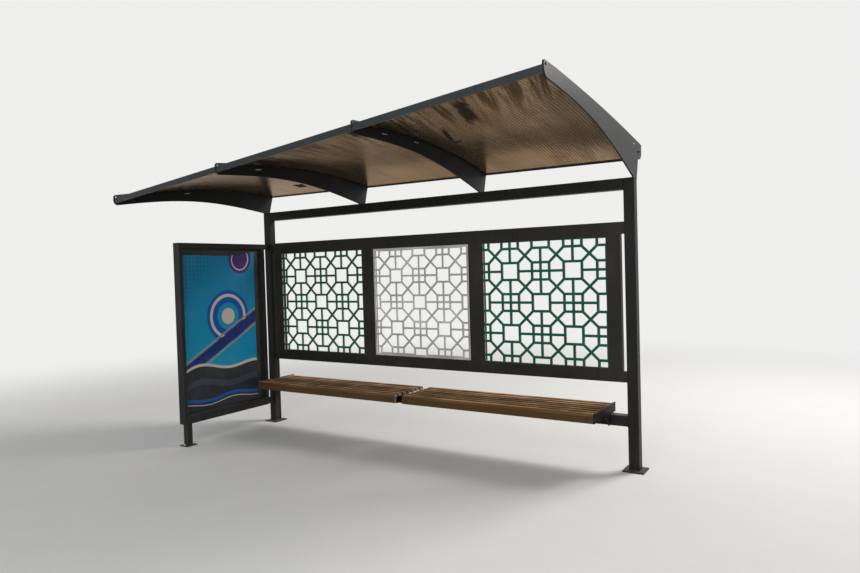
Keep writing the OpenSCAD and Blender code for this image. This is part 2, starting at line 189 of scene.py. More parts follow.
class Graph:
    """The node graph of one material or world."""

    def __init__(self, owner: Union[bpy.types.Material, bpy.types.World]) -> None:
        """Empties the owner's graph.

        Args:
            owner: A material or world.
        """
        self.owner = owner
        owner.use_nodes = True
        self.tree = owner.node_tree
        self.tree.nodes.clear()
        self._place: Optional[Link] = None

    @classmethod
    def of(cls, name: str) -> "Graph":
        """The graph of a new material of that name."""
        return cls(bpy.data.materials.new(name))

    @property
    def place(self) -> Link:
        """The place in the shared frame, in metres.

        Returns:
            The place as a vector.
        """
        if self._place is None:
            self._place = self.add("ShaderNodeTexCoord")["Object"]
        return self._place

    def add(self, kind: str, settings: Optional[dict] = None, sockets: Optional[dict] = None) -> Made:
        """Makes a node: its settings first, then the values or links of its sockets.

        Args:
            kind: The node's type.
            settings: Its properties by name; stops holds a ramp's places and colours.
            sockets: Values or links by socket name or number.

        Returns:
            The node.
        """
        node = self.tree.nodes.new(kind)
        for key, value in (settings or {}).items():
            if key == "stops":
                self._set_stops(node.color_ramp, value)
            else:
                setattr(node, key, value)
        for key, value in (sockets or {}).items():
            socket = node.inputs[key]
            if isinstance(value, Link):
                self.tree.links.new(value.socket, socket)
            elif socket.type == "RGBA" and len(value) == 3:
                socket.default_value = (*value, 1.0)
            else:
                socket.default_value = value
        return Made(self, node)

    @staticmethod
    def _set_stops(ramp: bpy.types.ColorRamp, stops: Sequence[tuple[float, Colour]]) -> None:
        """Writes a ramp's places and colours.

        Args:
            ramp: The ramp.
            stops: Pairs of a place from 0 to 1 and a colour.
        """
        while len(ramp.elements) < len(stops):
            ramp.elements.new(1.0)
        for element, (place, colour) in zip(ramp.elements, stops):
            element.position = place
            element.color = (*colour, 1.0)

    def mix(self, first: Union[Link, Colour], second: Union[Link, Colour], share: Operand) -> Link:
        """Blends two colours by the share of the second."""
        return self.add("ShaderNodeMix", {"data_type": "RGBA", "clamp_factor": True},
                        {0: share, 6: first, 7: second})[2]

    def vector(self, operation: str, first: Union[Link, Point], second: Union[Link, Point]) -> Made:
        """Vector Math node of that operation."""
        return self.add("ShaderNodeVectorMath", {"operation": operation}, {0: first, 1: second})

    def scaled(self, factors: Point) -> Link:
        """The place, stretched along its axes by factors."""
        return self.vector("MULTIPLY", self.place, factors)[0]

    def axes(self, vector: Optional[Link] = None) -> tuple[Link, Link, Link]:
        """A vector's X, Y and Z, or those of the place."""
        node = self.add("ShaderNodeSeparateXYZ", None, {0: vector or self.place})
        return node[0], node[1], node[2]

    def facing(self) -> tuple[Link, Link, Link]:
        """The X, Y and Z of the way a face looks, in the shared frame."""
        return self.axes(self.add("ShaderNodeNewGeometry")["Normal"])

    def noise(self, scale: float, detail: float = 2.0, vector: Optional[Link] = None,
              roughness: float = 0.5) -> Link:
        """Soft noise, mostly from 0.3 to 0.7, with a scale in lumps per metre."""
        return self.add("ShaderNodeTexNoise", None, {
            "Vector": vector or self.place, "Scale": scale, "Detail": detail, "Roughness": roughness})["Fac"]

    def drawn_lots(self, number: Link) -> Made:
        """A random value and colour for each number."""
        return self.add("ShaderNodeTexWhiteNoise", {"noise_dimensions": "1D"}, {"W": number})

    def edges(self, radius: float) -> Link:
        """Mask of the narrow zones beside sharp edges.

        Args:
            radius: Width of the zone in metres.

        Returns:
            The mask.
        """
        soft = self.add("ShaderNodeBevel", {"samples": 4}, {"Radius": radius})[0]
        true = self.add("ShaderNodeNewGeometry")["Normal"]
        return self.vector("DOT_PRODUCT", soft, true)["Value"].fall(0.84, 0.99)

    def bump(self, height: Link, distance: float, strength: float = 1.0) -> Link:
        """Normal of a relief from 0 to 1, with its depth in metres and how much of it shows."""
        return self.add("ShaderNodeBump", None,
                        {"Height": height, "Distance": distance, "Strength": strength})[0]

    def seen(self) -> Link:
        """Mask of what the eye meets straight, in a gloss or through glass."""
        rays = self.add("ShaderNodeLightPath")
        return rays["Is Camera Ray"] | rays["Is Glossy Ray"] | rays["Is Transmission Ray"]

    def principled(self, sockets: dict) -> Made:
        """A Principled shader with these values or links on its sockets."""
        return self.add("ShaderNodeBsdfPrincipled", None, sockets)

    def blend(self, share: Operand, first: Made, second: Made) -> Made:
        """Blends two shaders by the share of the second."""
        return self.add("ShaderNodeMixShader", None, {0: share, 1: first[0], 2: second[0]})

    def finish(self, shader: Made) -> Union[bpy.types.Material, bpy.types.World]:
        """Closes the graph with a shader.

        Args:
            shader: The shader that the surface shows.

        Returns:
            The graph's owner.
        """
        kind = "World" if isinstance(self.owner, bpy.types.World) else "Material"
        self.add("ShaderNodeOutput" + kind, None, {"Surface": shader[0]})
        return self.owner


def shade(colour: Colour, factor: float) -> Colour:
    """The colour made darker or lighter by a factor."""
    return (colour[0] * factor, colour[1] * factor, colour[2] * factor)


# Finishes


@dataclass(frozen=True)
class SteelPaint:
    """Satin paint on steel, with dust on what lies flat, runs, splashes near the ground and rubbed edges."""

    name: str
    colour: Colour
    roughness: float = 0.46
    gloss: float = 0.13
    dust_share: float = 0.3
    film_share: float = 0.035
    splash_share: float = 0.09
    splash_height: float = 0.4
    dust: Colour = (0.3, 0.25, 0.19)
    rubbed: Colour = (0.15, 0.14, 0.13)
    rubbed_share: float = 0.55
    rubbed_width: float = 4 * MM
    run_stretch: Point = (38.0, 38.0, 2.2)
    film_stretch: Point = (5.0, 5.0, 1.1)
    peel_scale: float = 420.0
    peel_depth: float = 0.3 * MM

    def material(self) -> bpy.types.Material:
        """Builds the paint.

        Returns:
            The material.
        """
        g = Graph.of(self.name)
        height = g.axes()[2]
        up = g.facing()[2]
        grain = g.noise(46.0, 3.0)
        runs = g.noise(1.0, 4.0, g.scaled(self.run_stretch))
        tone = g.mix(self.colour, shade(self.colour, FADED), g.noise(2.3, 4.0).rise(0.38, 0.7))
        tone = g.mix(tone, shade(self.colour, SOILED), runs.rise(0.52, 0.78) * 0.55)
        film = g.noise(1.0, 5.0, g.scaled(self.film_stretch), 0.6).rise(0.5, 0.78) * self.film_share
        lying = up.rise(0.25, 0.85) * grain.rise(0.22, 0.6)
        splashed = height.fall(0.0, self.splash_height) * runs.rise(0.36, 0.7) * self.splash_share
        dusty = (lying * self.dust_share) | splashed | film
        worn = g.edges(self.rubbed_width) * g.noise(21.0, 4.0).rise(0.46, 0.64) * self.rubbed_share
        tone = g.mix(g.mix(tone, self.rubbed, worn), self.dust, dusty)
        return g.finish(g.principled({
            "Base Color": tone,
            "Roughness": grain * 0.16 + dusty * 0.4 + (self.roughness - 0.08),
            "Normal": g.bump(g.noise(self.peel_scale, 2.0), self.peel_depth, 0.35),
            "Specular IOR Level": self.gloss,
        }))


@dataclass(frozen=True)
class LatticePaint:
    """Paint on a cut-out panel, with a painted highlight on its cut edges and chips along them."""

    name: str
    colour: Colour
    # colour of the painted highlight on the cut faces, also the colour of the chips
    edge_highlight_and_chip: Colour
    metallic: float = 0.0
    run_share: float = 0.1
    edge_highlight_share: float = 0.6
    gloss: float = 0.15
    run: Colour = (0.2, 0.17, 0.13)
    dust: Colour = (0.42, 0.36, 0.28)
    run_stretch: Point = (60.0, 60.0, 3.0)
    chip_width: float = 2.5 * MM
    chip_share: float = 0.8
    peel_scale: float = 500.0
    peel_depth: float = 0.2 * MM

    def material(self) -> bpy.types.Material:
        """Builds the paint.

        Returns:
            The material.
        """
        g = Graph.of(self.name)
        _, out, up = g.facing()
        grain = g.noise(34.0, 4.0)
        tone = g.mix(self.colour, shade(self.colour, FADED), g.noise(3.1, 4.0).rise(0.4, 0.7))
        tone = g.mix(tone, shade(self.colour, SOILED), g.noise(9.0, 5.0).rise(0.52, 0.72) * 0.5)
        runs = g.noise(1.0, 3.0, g.scaled(self.run_stretch)).rise(0.55, 0.75)
        tone = g.mix(tone, self.run, runs * self.run_share)
        # painted highlight: the cut faces, which look across the panel, are made paler as if lit by the sun
        cut = abs(out).fall(0.4, 0.8)
        tone = g.mix(tone, self.edge_highlight_and_chip, cut * grain.rise(0.2, 0.5) * self.edge_highlight_share)
        chips = g.noise(130.0, 3.0).rise(0.64, 0.69) * g.edges(self.chip_width)
        tone = g.mix(tone, self.edge_highlight_and_chip, chips * self.chip_share)
        tone = g.mix(tone, self.dust, up.rise(0.4, 0.9) * grain.rise(0.3, 0.6) * 0.5)
        return g.finish(g.principled({
            "Base Color": tone,
            "Roughness": grain * 0.2 + 0.32,
            "Metallic": self.metallic,
            "Normal": g.bump(g.noise(self.peel_scale, 2.0), self.peel_depth, 0.3),
            "Specular IOR Level": self.gloss,
        }))


@dataclass(frozen=True)
class Stain:
    """A leaning dark patch of old dirt on a roof sheet: its middle, half sizes and share."""

    x: float
    y: float
    half_x: float
    half_y: float
    share: float


@dataclass(frozen=True)
class BronzeSheet:
    """Bronze hollow plastic: ribs between two mirror-like skins, painted reflection streaks at the front,
    dust from above.
    """

    name: str
    first_rib: float
    rib_pitch: float
    stains: tuple[Stain, ...]
    streak_reflection_share: float
    body: Colour = (0.41, 0.302, 0.212)
    rib: Colour = (0.085, 0.06, 0.042)
    # colour of the painted reflection streaks
    reflection_streak_tone: Colour = (0.055, 0.04, 0.032)
    dirt: Colour = (0.018, 0.012, 0.008)
    dust: Colour = (0.24, 0.17, 0.11)
    sheen: Colour = (0.64, 0.5, 0.375)
    metallic: float = 0.84
    refraction: float = 1.6
    lean: float = 0.3
    lean_from: float = -1.3
    # the painted reflection streaks are full at the front edge and gone by these places across the roof
    streak_reflection_front: float = -1.45
    streak_reflection_end: float = -0.8
    dirt_film: float = 0.7
    # share of matt film laid over the painted reflection streaks
    streak_reflection_film: float = 0.36
    ripple_depth: float = 6 * MM

    def material(self) -> bpy.types.Material:
        """Builds the plastic.

        Returns:
            The material.
        """
        g = Graph.of(self.name)
        x, y, _ = g.axes()
        up = g.facing()[2]
        count = (x - self.first_rib) / self.rib_pitch
        rib = (abs(count.part() - 0.5) * 2.0).rise(0.35, 0.9)
        own = g.drawn_lots(count.whole())["Value"]
        # painted reflection: dark bands stretched along the reach stand in for reflections in the glossy
        # underside
        reflection_bands = g.noise(1.0, 4.0, g.scaled((6.0, 1.1, 1.0)))
        patch = g.noise(2.1, 5.0, roughness=0.6)
        tone = g.mix(self.body, shade(self.body, 0.5), reflection_bands.rise(0.42, 0.66) * 0.7)
        tone = g.mix(tone, shade(self.body, 1.35), patch.rise(0.5, 0.7) * 0.7)
        tone = g.mix(tone, shade(self.body, 0.7), own.rise(0.3, 1.0) * 0.3)
        tone = g.mix(tone, self.rib, rib * (patch.rise(0.35, 0.6) * 0.5 + 0.4))
        leaning = x + (y - self.lean_from) * self.lean
        slanted = g.add("ShaderNodeCombineXYZ", None, {0: leaning * 19.0, 1: y * 0.9, 2: 0.0})[0]
        # painted reflection: leaning dark streaks on the downward faces near the front stand in for
        # reflections of upright things in the rippled underside
        streaks = g.noise(1.0, 4.0, slanted, 0.6).rise(0.44, 0.6)
        reflection_streaks = streaks * y.fall(self.streak_reflection_front, self.streak_reflection_end) * up.fall(-0.6, 0.0)
        tone = g.mix(tone, self.reflection_streak_tone, reflection_streaks * self.streak_reflection_share)
        washed = g.noise(1.0, 4.0, g.scaled((24.0, 2.0, 1.0))).rise(0.4, 0.7)
        dusty = up.rise(0.3, 0.9) * (patch.rise(0.3, 0.62) * 0.5 + washed * 0.2 + 0.2)
        tone = g.mix(tone, self.dust, dusty)
        dark = self._soiled(g, leaning, y)
        tone = g.mix(tone, self.dirt, dark)
        ripple = g.noise(1.0, 2.0, g.scaled((9.0, 1.2, 1.0)))
        ripple = ripple + g.noise(1.0, 2.0, g.scaled((70.0, 4.0, 4.0))) * 0.05
        plastic = g.principled({
            "Base Color": tone,
            "Roughness": dusty * 0.5 + dark * 0.3 + patch * 0.12 + 0.15,
            "Metallic": self.metallic - dusty * 0.78 - dark * 0.4,
            "IOR": self.refraction,
            "Specular IOR Level": 0.5,
            "Specular Tint": (*self.sheen, 1.0),
            "Normal": g.bump(ripple, self.ripple_depth, 0.35),
        })
        film = g.principled({"Base Color": self.dirt, "Roughness": 0.9, "Specular IOR Level": 0.0})
        # the matt film covers the stains and the painted reflection streaks
        matt = dark * self.dirt_film | reflection_streaks * (self.streak_reflection_film * self.streak_reflection_share)
        return g.finish(g.blend(matt, plastic, film))

    def _soiled(self, g: Graph, leaning: Link, y: Link) -> Link:
        """Mask of the small spots and of the sheet's own stains.

        Args:
            g: The graph.
            leaning: Place along the shelter, measured along the streaks.
            y: Place across it.

        Returns:
            The mask.
        """
        mask = g.noise(7.5, 6.0, g.scaled((1.0, 1.5, 1.0)), 0.62).rise(0.69, 0.73) * 0.5
        ragged = g.noise(1.0, 4.0, g.scaled((34.0, 9.0, 9.0))) * 1.1 - 0.55
        for stain in self.stains:
            away = abs(leaning - stain.x) / stain.half_x | abs(y - stain.y) / stain.half_y
            mask = mask | (away + ragged).fall(0.55, 1.15) * stain.share
        return mask


@dataclass(frozen=True)
class WeatheredTimber:
    """Oiled hardwood boards along X, each with its own tone, with grain, cracks, worn tops and painted shade.
    """

    name: str
    dark: Colour
    mid: Colour
    light: Colour
    board_start: float
    board_pitch: float
    unit_middle: float
    greyed: Colour = (0.16, 0.13, 0.1)
    crack: Colour = (0.014, 0.008, 0.005)
    end_grain: Colour = (0.24, 0.2, 0.16)
    # colour painted as shade on the first slat's upright front face
    front: Colour = (0.085, 0.046, 0.016)
    front_start: float = 4 * MM
    front_end: float = 8 * MM
    unit_step: float = 31.0
    relief: float = 1.1 * MM

    def material(self) -> bpy.types.Material:
        """Builds the timber.

        Returns:
            The material.
        """
        g = Graph.of(self.name)
        along, across, _ = g.axes()
        end_on, side_on, up = g.facing()
        board = ((across - self.board_start) / self.board_pitch).whole()
        unit = along.rise(self.unit_middle - MM, self.unit_middle + MM) * self.unit_step
        own = g.drawn_lots(board + unit)
        shift = g.vector("MULTIPLY", own["Color"], (9.0, 9.0, 9.0))[0]
        figure = g.noise(1.0, 4.0, g.vector("ADD", g.scaled((1.6, 34.0, 34.0)), shift)[0], 0.6)
        fibre = g.noise(1.0, 2.0, g.vector("ADD", g.scaled((9.0, 420.0, 420.0)), shift)[0], 0.6)
        tone = g.add("ShaderNodeValToRGB", {"stops": [
            (0.32, self.dark), (0.5, self.mid), (0.68, self.light)]}, {"Fac": figure})[0]
        tone = g.mix(tone, self.dark, fibre.rise(0.52, 0.75) * 0.5)
        tone = g.mix(tone, shade(self.mid, 0.4), own["Value"].rise(0.35, 1.0) * 0.5)
        tone = g.mix(tone, self.greyed, g.noise(3.0, 4.0).rise(0.52, 0.75) * 0.15)
        cracks = g.noise(1.0, 3.0, g.scaled((2.2, 150.0, 150.0)), 0.55).rise(0.67, 0.71)
        tone = g.mix(tone, self.crack, cracks * 0.85)
        worn = up.rise(0.5, 0.9) * g.noise(5.0, 5.0).rise(0.42, 0.66)
        tone = g.mix(tone, shade(self.light, 1.15), worn * 0.5)
        first = across.fall(self.board_start + self.front_start, self.board_start + self.front_end)
        # painted shade: the sides of every slat but the first are darkened, for the shade in the gaps between
        # slats
        tone = g.mix(tone, shade(self.dark, 0.3), abs(side_on).rise(0.12, 0.5) * (1.0 - first) * 0.9)
        # painted shade: the first slat's upright front face takes the dark front colour, for the shade on
        # that face
        tone = g.mix(tone, self.front, abs(side_on).rise(0.4, 0.8) * first * 0.75)
        tone = g.mix(tone, self.end_grain, abs(end_on).rise(0.6, 0.9) * 0.75)
        return g.finish(g.principled({
            "Base Color": tone,
            "Roughness": 0.72 - worn * 0.2 + fibre * 0.1,
            "Normal": g.bump(figure * 0.45 + fibre * 0.35 - cracks * 0.6, self.relief, 0.8),
            "Specular IOR Level": 0.15,
        }))


@dataclass(frozen=True)
class SmallPartFinish:
    """Finish of screws, seals and boards, mottled by soft noise."""

    name: str
    colour: Colour
    roughness: float
    metallic: float = 0.0
    stained: Colour = (0.06, 0.035, 0.02)
    stained_share: float = 0.3
    relief: float = 0.15 * MM

    def material(self) -> bpy.types.Material:
        """Builds the finish.

        Returns:
            The material.
        """
        g = Graph.of(self.name)
        spots = g.noise(160.0, 4.0)
        tone = g.mix(self.colour, shade(self.colour, 0.55), spots.rise(0.4, 0.7) * 0.6)
        tone = g.mix(tone, self.stained, g.noise(35.0, 5.0).rise(0.5, 0.7) * self.stained_share)
        return g.finish(g.principled({
            "Base Color": tone,
            "Roughness": spots * 0.25 + self.roughness,
            "Metallic": self.metallic,
            "Normal": g.bump(g.noise(700.0, 2.0), self.relief, 0.4),
        }))


@dataclass(frozen=True)
class PosterPrint:
    """A printed sheet with a plain abstract design: a ringed disc, a band, dots and waves in flat inks.

    Places are in widths of the print from its lower front corner, and those upwards are shares of its
    height.
    """

    name: str
    front: float
    rear: float
    bottom: float
    top: float
    sky: Colour = (0.0, 0.175, 0.33)
    sky_low: Colour = (0.0, 0.24, 0.42)
    ink: Colour = (0.016, 0.019, 0.026)
    navy: Colour = (0.01, 0.02, 0.13)
    violet: Colour = (0.055, 0.02, 0.13)
    blue: Colour = (0.0, 0.075, 0.33)
    cream: Colour = (0.5, 0.46, 0.4)
    sand: Colour = (0.32, 0.22, 0.13)
    dot_blue: Colour = (0.0, 0.1, 0.17)
    faded: Colour = (0.2, 0.27, 0.3)
    grime: Colour = (0.12, 0.1, 0.08)
    dots_across: float = 22.0
    disc: tuple[float, float] = (0.6, 0.6)
    arch: tuple[float, float] = (0.79, 0.98)
    arch_radius: float = 0.16
    arch_ring: float = 0.12
    band_slope: float = 0.55
    band_foot: float = 0.26
    band_half: float = 0.06
    band_line: float = 0.09
    hill_foot: float = 0.24
    wave_foot: float = 0.075
    soft: float = 0.003

    @staticmethod
    def _away(u: Link, v: Link, centre: tuple[float, float]) -> Link:
        """Distance in widths between a place on the print and a centre."""
        du, dv = u - centre[0], v - centre[1]
        return (du * du + dv * dv) ** 0.5

    def _sky(self, g: Graph, u: Link, v: Link, tall: float) -> Link:
        """The upper part of the design: sky, dots, disc, band and arch.

        Args:
            g: The graph.
            u: Place across the print in widths.
            v: Place up the print in widths.
            tall: The print's height in widths.

        Returns:
            The colour.
        """
        tone = g.mix(self.sky_low, self.sky, v.rise(0.3 * tall, 0.95 * tall))
        cell_u, cell_v = (u * self.dots_across).part(), (v * self.dots_across).part()
        dot = self._away(cell_u, cell_v, (0.5, 0.5)).fall(0.24, 0.32)
        tone = g.mix(tone, self.dot_blue, dot * (u + (tall - v) * 0.8).fall(0.35, 0.5) * 0.8)
        sun = self._away(u, v, (self.disc[0], self.disc[1] * tall))
        for radius, ink in ((0.29, self.blue), (0.25, self.cream), (0.215, self.blue),
                            (0.15, self.sky_low), (0.09, self.cream)):
            tone = g.mix(tone, ink, sun.fall(radius - self.soft, radius + self.soft))
        band = abs(v - u * self.band_slope - self.band_foot * tall)
        tone = g.mix(tone, self.navy, band.fall(self.band_half, self.band_half + 2 * self.soft))
        tone = g.mix(tone, self.sand, abs(band - self.band_line).fall(0.008, 0.012))
        arch = self._away(u, v, (self.arch[0], self.arch[1] * tall))
        tone = g.mix(tone, self.violet, arch.fall(self.arch_radius, self.arch_radius + 2 * self.soft))
        return g.mix(tone, self.cream, abs(arch - self.arch_ring).fall(0.005, 0.009))

    def material(self) -> bpy.types.Material:
        """Builds the print.

        Returns:
            The material.
        """
        g = Graph.of(self.name)
        _, y, z = g.axes()
        width = self.rear - self.front
        tall = (self.top - self.bottom) / width
        u, v = (y - self.front) / width, (z - self.bottom) / width
        tone = self._sky(g, u, v, tall)
        hills = (u * 7.0 + 0.6).sine() * 0.05 + (u * 3.1).sine() * 0.07 + self.hill_foot * tall
        for lift, ink in ((0.03, self.cream), (0.0, self.ink), (-0.13, shade(self.ink, 2.2)),
                          (-0.2, self.ink)):
            tone = g.mix(tone, ink, (v - hills).fall(lift - self.soft, lift + self.soft))
        low = (u * 9.0 + 2.0).sine() * 0.02 + self.wave_foot * tall
        tone = g.mix(tone, self.blue, abs(v - low).fall(0.014, 0.018))
        tone = g.mix(tone, self.cream, abs(v - low + 0.045).fall(0.003, 0.006))
        tone = g.mix(tone, self.faded, g.noise(2.4, 4.0).rise(0.5, 0.8) * 0.14)
        grime = g.noise(1.0, 5.0, g.scaled((30.0, 30.0, 3.0)), 0.6).rise(0.55, 0.8)
        tone = g.mix(tone, self.grime, grime * 0.2)
        return g.finish(g.principled({
            "Base Color": tone,
            "Roughness": g.noise(14.0, 3.0) * 0.2 + 0.26,
            "Normal": g.bump(g.noise(5.0, 2.0), 2 * MM, 0.5),
            "Specular IOR Level": 0.22,
        }))


# Meshes


class Shape:
    """Points and faces of one piece while it is being made."""

    def __init__(self) -> None:
        """Starts with nothing."""
        self.points: list[Vector] = []
        self.faces: list[list[int]] = []

    def loft(self, rings: Sequence[Sequence[Point]]) -> None:
        """Skins a row of rings with as many points each, with flat faces on the first and the last.

        Args:
            rings: The rings in order.
        """
        start, count = len(self.points), len(rings[0])
        for ring in rings:
            self.points.extend(Vector(p) for p in ring)
        for i in range(len(rings) - 1):
            a, b = start + i * count, start + (i + 1) * count
            self.faces.extend([a + k, a + (k + 1) % count, b + (k + 1) % count, b + k] for k in range(count))
        last = start + (len(rings) - 1) * count
        self.faces.append([start + k for k in range(count - 1, -1, -1)])
        self.faces.append([last + k for k in range(count)])

    def turned(self, foot: Point, axis: Point, profile: Sequence[tuple[float, float]], sides: int,
               turn: float = 0.0) -> None:
        """Turns a profile round an axis.

        Args:
            foot: Point on the axis from which heights count.
            axis: Direction of the axis.
            profile: Pairs of radius and height.
            sides: Sides of each ring.
            turn: Angle of the first corner in radians.
        """
        up = Vector(axis).normalized()
        right = up.orthogonal().normalized()
        ahead = up.cross(right)
        angles = [turn + 2 * math.pi * k / sides for k in range(sides)]
        self.loft([[Vector(foot) + up * height + (right * math.cos(a) + ahead * math.sin(a)) * radius
                    for a in angles] for radius, height in profile])

    def strand(self, path: Sequence[Point], out: Point, sizes: Sequence[float]) -> None:
        """Skins a half-round strand along a path.

        Args:
            path: Its line.
            out: Direction of its crown.
            sizes: Its radius at each point.
        """
        crown = Vector(out).normalized()
        rings = []
        for i, (place, size) in enumerate(zip(path, sizes)):
            run = Vector(path[min(i + 1, len(path) - 1)]) - Vector(path[max(i - 1, 0)])
            flank = run.cross(crown).normalized()
            rings.append([Vector(place) + (flank * math.cos(a) + crown * math.sin(a)) * size
                          for a in (math.pi * k / 5 for k in range(6))])
        self.loft(rings)

    def block(self, low: Point, high: Point, ease: float) -> None:
        """Adds a block with chamfered edges.

        Args:
            low: Its lowest corner.
            high: Its highest corner.
            ease: Width of the chamfers.
        """
        rings = []
        for z, inset in ((low[2], ease), (low[2] + ease, 0.0), (high[2] - ease, 0.0), (high[2], ease)):
            x0, y0, x1, y1 = low[0] + inset, low[1] + inset, high[0] - inset, high[1] - inset
            e = ease
            rings.append([(x0 + e, y0, z), (x1 - e, y0, z), (x1, y0 + e, z), (x1, y1 - e, z),
                          (x1 - e, y1, z), (x0 + e, y1, z), (x0, y1 - e, z), (x0, y0 + e, z)])
        self.loft(rings)

    def sheet(self, outline: Outline, front: float, back: float) -> None:
        """Adds a flat sheet that stands along X, with a wall round each of its edges.

        Args:
            outline: Its points as X and Z, and its faces.
            front: Y of its front.
            back: Y of its back.
        """
        points, faces = outline
        start, count = len(self.points), len(points)
        for y in (front, back):
            self.points.extend(Vector((x, y, z)) for x, z in points)
        sides: dict[tuple[int, int], int] = {}
        for face in faces:
            for a, b in zip(face, face[1:] + face[:1]):
                sides[(a, b)] = sides.get((a, b), 0) + 1
            self.faces.append([start + k for k in face])
            self.faces.append([start + count + k for k in reversed(face)])
        self.faces.extend([start + b, start + a, start + count + a, start + count + b]
                          for a, b in sides if (b, a) not in sides)

    def piece(self, name: str, material: bpy.types.Material, slot: str,
              replaces: Iterable[str] = (), smooth: float = FIRM_ANGLE) -> bpy.types.Object:
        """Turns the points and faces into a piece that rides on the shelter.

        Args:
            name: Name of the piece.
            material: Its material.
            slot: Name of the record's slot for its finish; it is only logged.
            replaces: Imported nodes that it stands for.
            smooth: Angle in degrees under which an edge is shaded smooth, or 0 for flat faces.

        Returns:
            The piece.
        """
        mesh = bpy.data.meshes.new(name)
        mesh.from_pydata(self.points, [], self.faces)
        work = bmesh.new()
        work.from_mesh(mesh)
        bmesh.ops.recalc_face_normals(work, faces=work.faces)
        work.to_mesh(mesh)
        work.free()
        if smooth:
            mesh.shade_smooth()
            mesh.set_sharp_from_angle(angle=math.radians(smooth))
        mesh.materials.append(material)
        obj = bpy.data.objects.new(name, mesh)
        bpy.context.scene.collection.objects.link(obj)
        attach(obj, BODY)
        if replaces:
            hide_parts(*replaces)
        log.info("piece %s: %d faces, slot %s", name, len(mesh.polygons), slot)
        return obj


@dataclass(frozen=True)
class WeldLine:
    """A corner in which a bead is laid, and the way it looks."""

    start: Point
    end: Point
    out: Point

    @classmethod
    def along_x(cls, x0: float, x1: float, y: float, z: float, out: Point) -> "WeldLine":
        """A line from x0 to x1."""
        return cls((x0, y, z), (x1, y, z), out)

    @classmethod
    def along_y(cls, x: float, y0: float, y1: float, z: float, out: Point) -> "WeldLine":
        """A line from y0 to y1."""
        return cls((x, y0, z), (x, y1, z), out)

    @classmethod
    def along_z(cls, x: float, y: float, z0: float, z1: float, out: Point) -> "WeldLine":
        """A line from z0 to z1."""
        return cls((x, y, z0), (x, y, z1), out)


def round_a_foot(low: Point, high: Point, z: float, up: float) -> list[WeldLine]:
    """The four corners where an upright section meets a flat face.

    Args:
        low: Lowest corner of the section.
        high: Its highest corner.
        z: Height of the flat face.
        up: 1 if the beads look up, or -1.

    Returns:
        The four lines.
    """
    x0, y0, x1, y1 = low[0], low[1], high[0], high[1]
    return [WeldLine.along_x(x0, x1, y0, z, (0, -1, up)), WeldLine.along_y(x1, y0, y1, z, (1, 0, up)),
            WeldLine.along_x(x1, x0, y1, z, (0, 1, up)), WeldLine.along_y(x0, y1, y0, z, (-1, 0, up))]


@dataclass
class Welder:
    """Lays rippled beads in corners."""

    size: float = 4.2 * MM
    ripple: float = 4.5 * MM
    ripple_steps: int = 3
    ripple_share: float = 0.13
    shake: float = 0.04
    end_share: float = 0.5
    hand: random.Random = field(default_factory=lambda: random.Random(11))

    def lay(self, name: str, lines: Sequence[WeldLine], material: bpy.types.Material, slot: str,
            size: Optional[float] = None) -> None:
        """Makes one piece of all the beads.

        Args:
            name: Name of the piece.
            lines: The corners.
            material: Material of the beads.
            slot: Name of the record's slot for their finish; it is only logged.
            size: Throat of the beads, or None for the usual one.
        """
        shape = Shape()
        for line in lines:
            start, end = Vector(line.start), Vector(line.end)
            count = max(2, round((end - start).length / self.ripple)) * self.ripple_steps
            path = [start.lerp(end, i / count) for i in range(count + 1)]
            sizes = [(size or self.size) * self._swell(i) for i in range(count + 1)]
            sizes[0] *= self.end_share
            sizes[-1] *= self.end_share
            shape.strand(path, line.out, sizes)
        shape.piece(name, material, slot, smooth=SOFT_ANGLE)

    def _swell(self, step: int) -> float:
        """Share of its full size that a bead has at a step, with the welder's unsteady hand in it."""
        wave = math.cos(2 * math.pi * step / self.ripple_steps)
        return 1 - self.ripple_share + self.ripple_share * wave + self.hand.uniform(-self.shake, self.shake)


@dataclass(frozen=True)
class HexBolt:
    """A hexagon head on a round washer."""

    across: float
    height: float
    washer: float

    def add(self, shape: Shape, foot: Point, axis: Point, turn: float) -> None:
        """Adds one bolt head.

        Args:
            shape: Where it is added.
            foot: Middle of the washer's seat.
            axis: Direction out of the surface.
            turn: Angle of the hexagon in radians.
        """
        seat = Vector(foot)
        up = Vector(axis).normalized()
        thick = 0.16 * self.across
        rim = self.washer / 2
        shape.turned(seat, up, [(rim, 0.0), (rim, 0.8 * thick), (rim - 0.2 * thick, thick)], 24)
        corner = self.across / math.sqrt(3)
        top = thick + self.height
        shape.turned(seat, up, [(corner, thick), (corner, top - 0.12 * self.across),
                                (0.84 * corner, top), (0.3 * corner, top)], 6, turn)


@dataclass(frozen=True)
class DomeScrew:
    """A low domed head with a round recess."""

    radius: float
    height: float

    def add(self, shape: Shape, foot: Point, axis: Point, turn: float) -> None:
        """Adds one screw head.

        Args:
            shape: Where it is added.
            foot: Middle of its seat.
            axis: Direction out of the surface.
            turn: Angle of its facets in radians.
        """
        r, h = self.radius, self.height
        shape.turned(foot, axis, [(r, 0.0), (r, 0.25 * h), (0.86 * r, 0.62 * h), (0.62 * r, 0.88 * h),
                                  (0.38 * r, h), (0.32 * r, 0.9 * h), (0.28 * r, 0.45 * h)], 18, turn)


Head = Union[HexBolt, DomeScrew]


def fit_heads(name: str, head: Head, places: Sequence[tuple[Point, Point]], material: bpy.types.Material,
              slot: str, seed: int = 3) -> None:
    """Makes one piece of many screw or bolt heads.

    Args:
        name: Name of the piece.
        head: Kind of head.
        places: Pairs of a seat and the direction out of its surface.
        material: Material of the heads.
        slot: Name of the record's slot for their finish; it is only logged.
        seed: Start of the random turns.
    """
    hand = random.Random(seed)
    shape = Shape()
    for foot, axis in places:
        head.add(shape, foot, axis, hand.uniform(0.0, math.pi))
    shape.piece(name, material, slot)


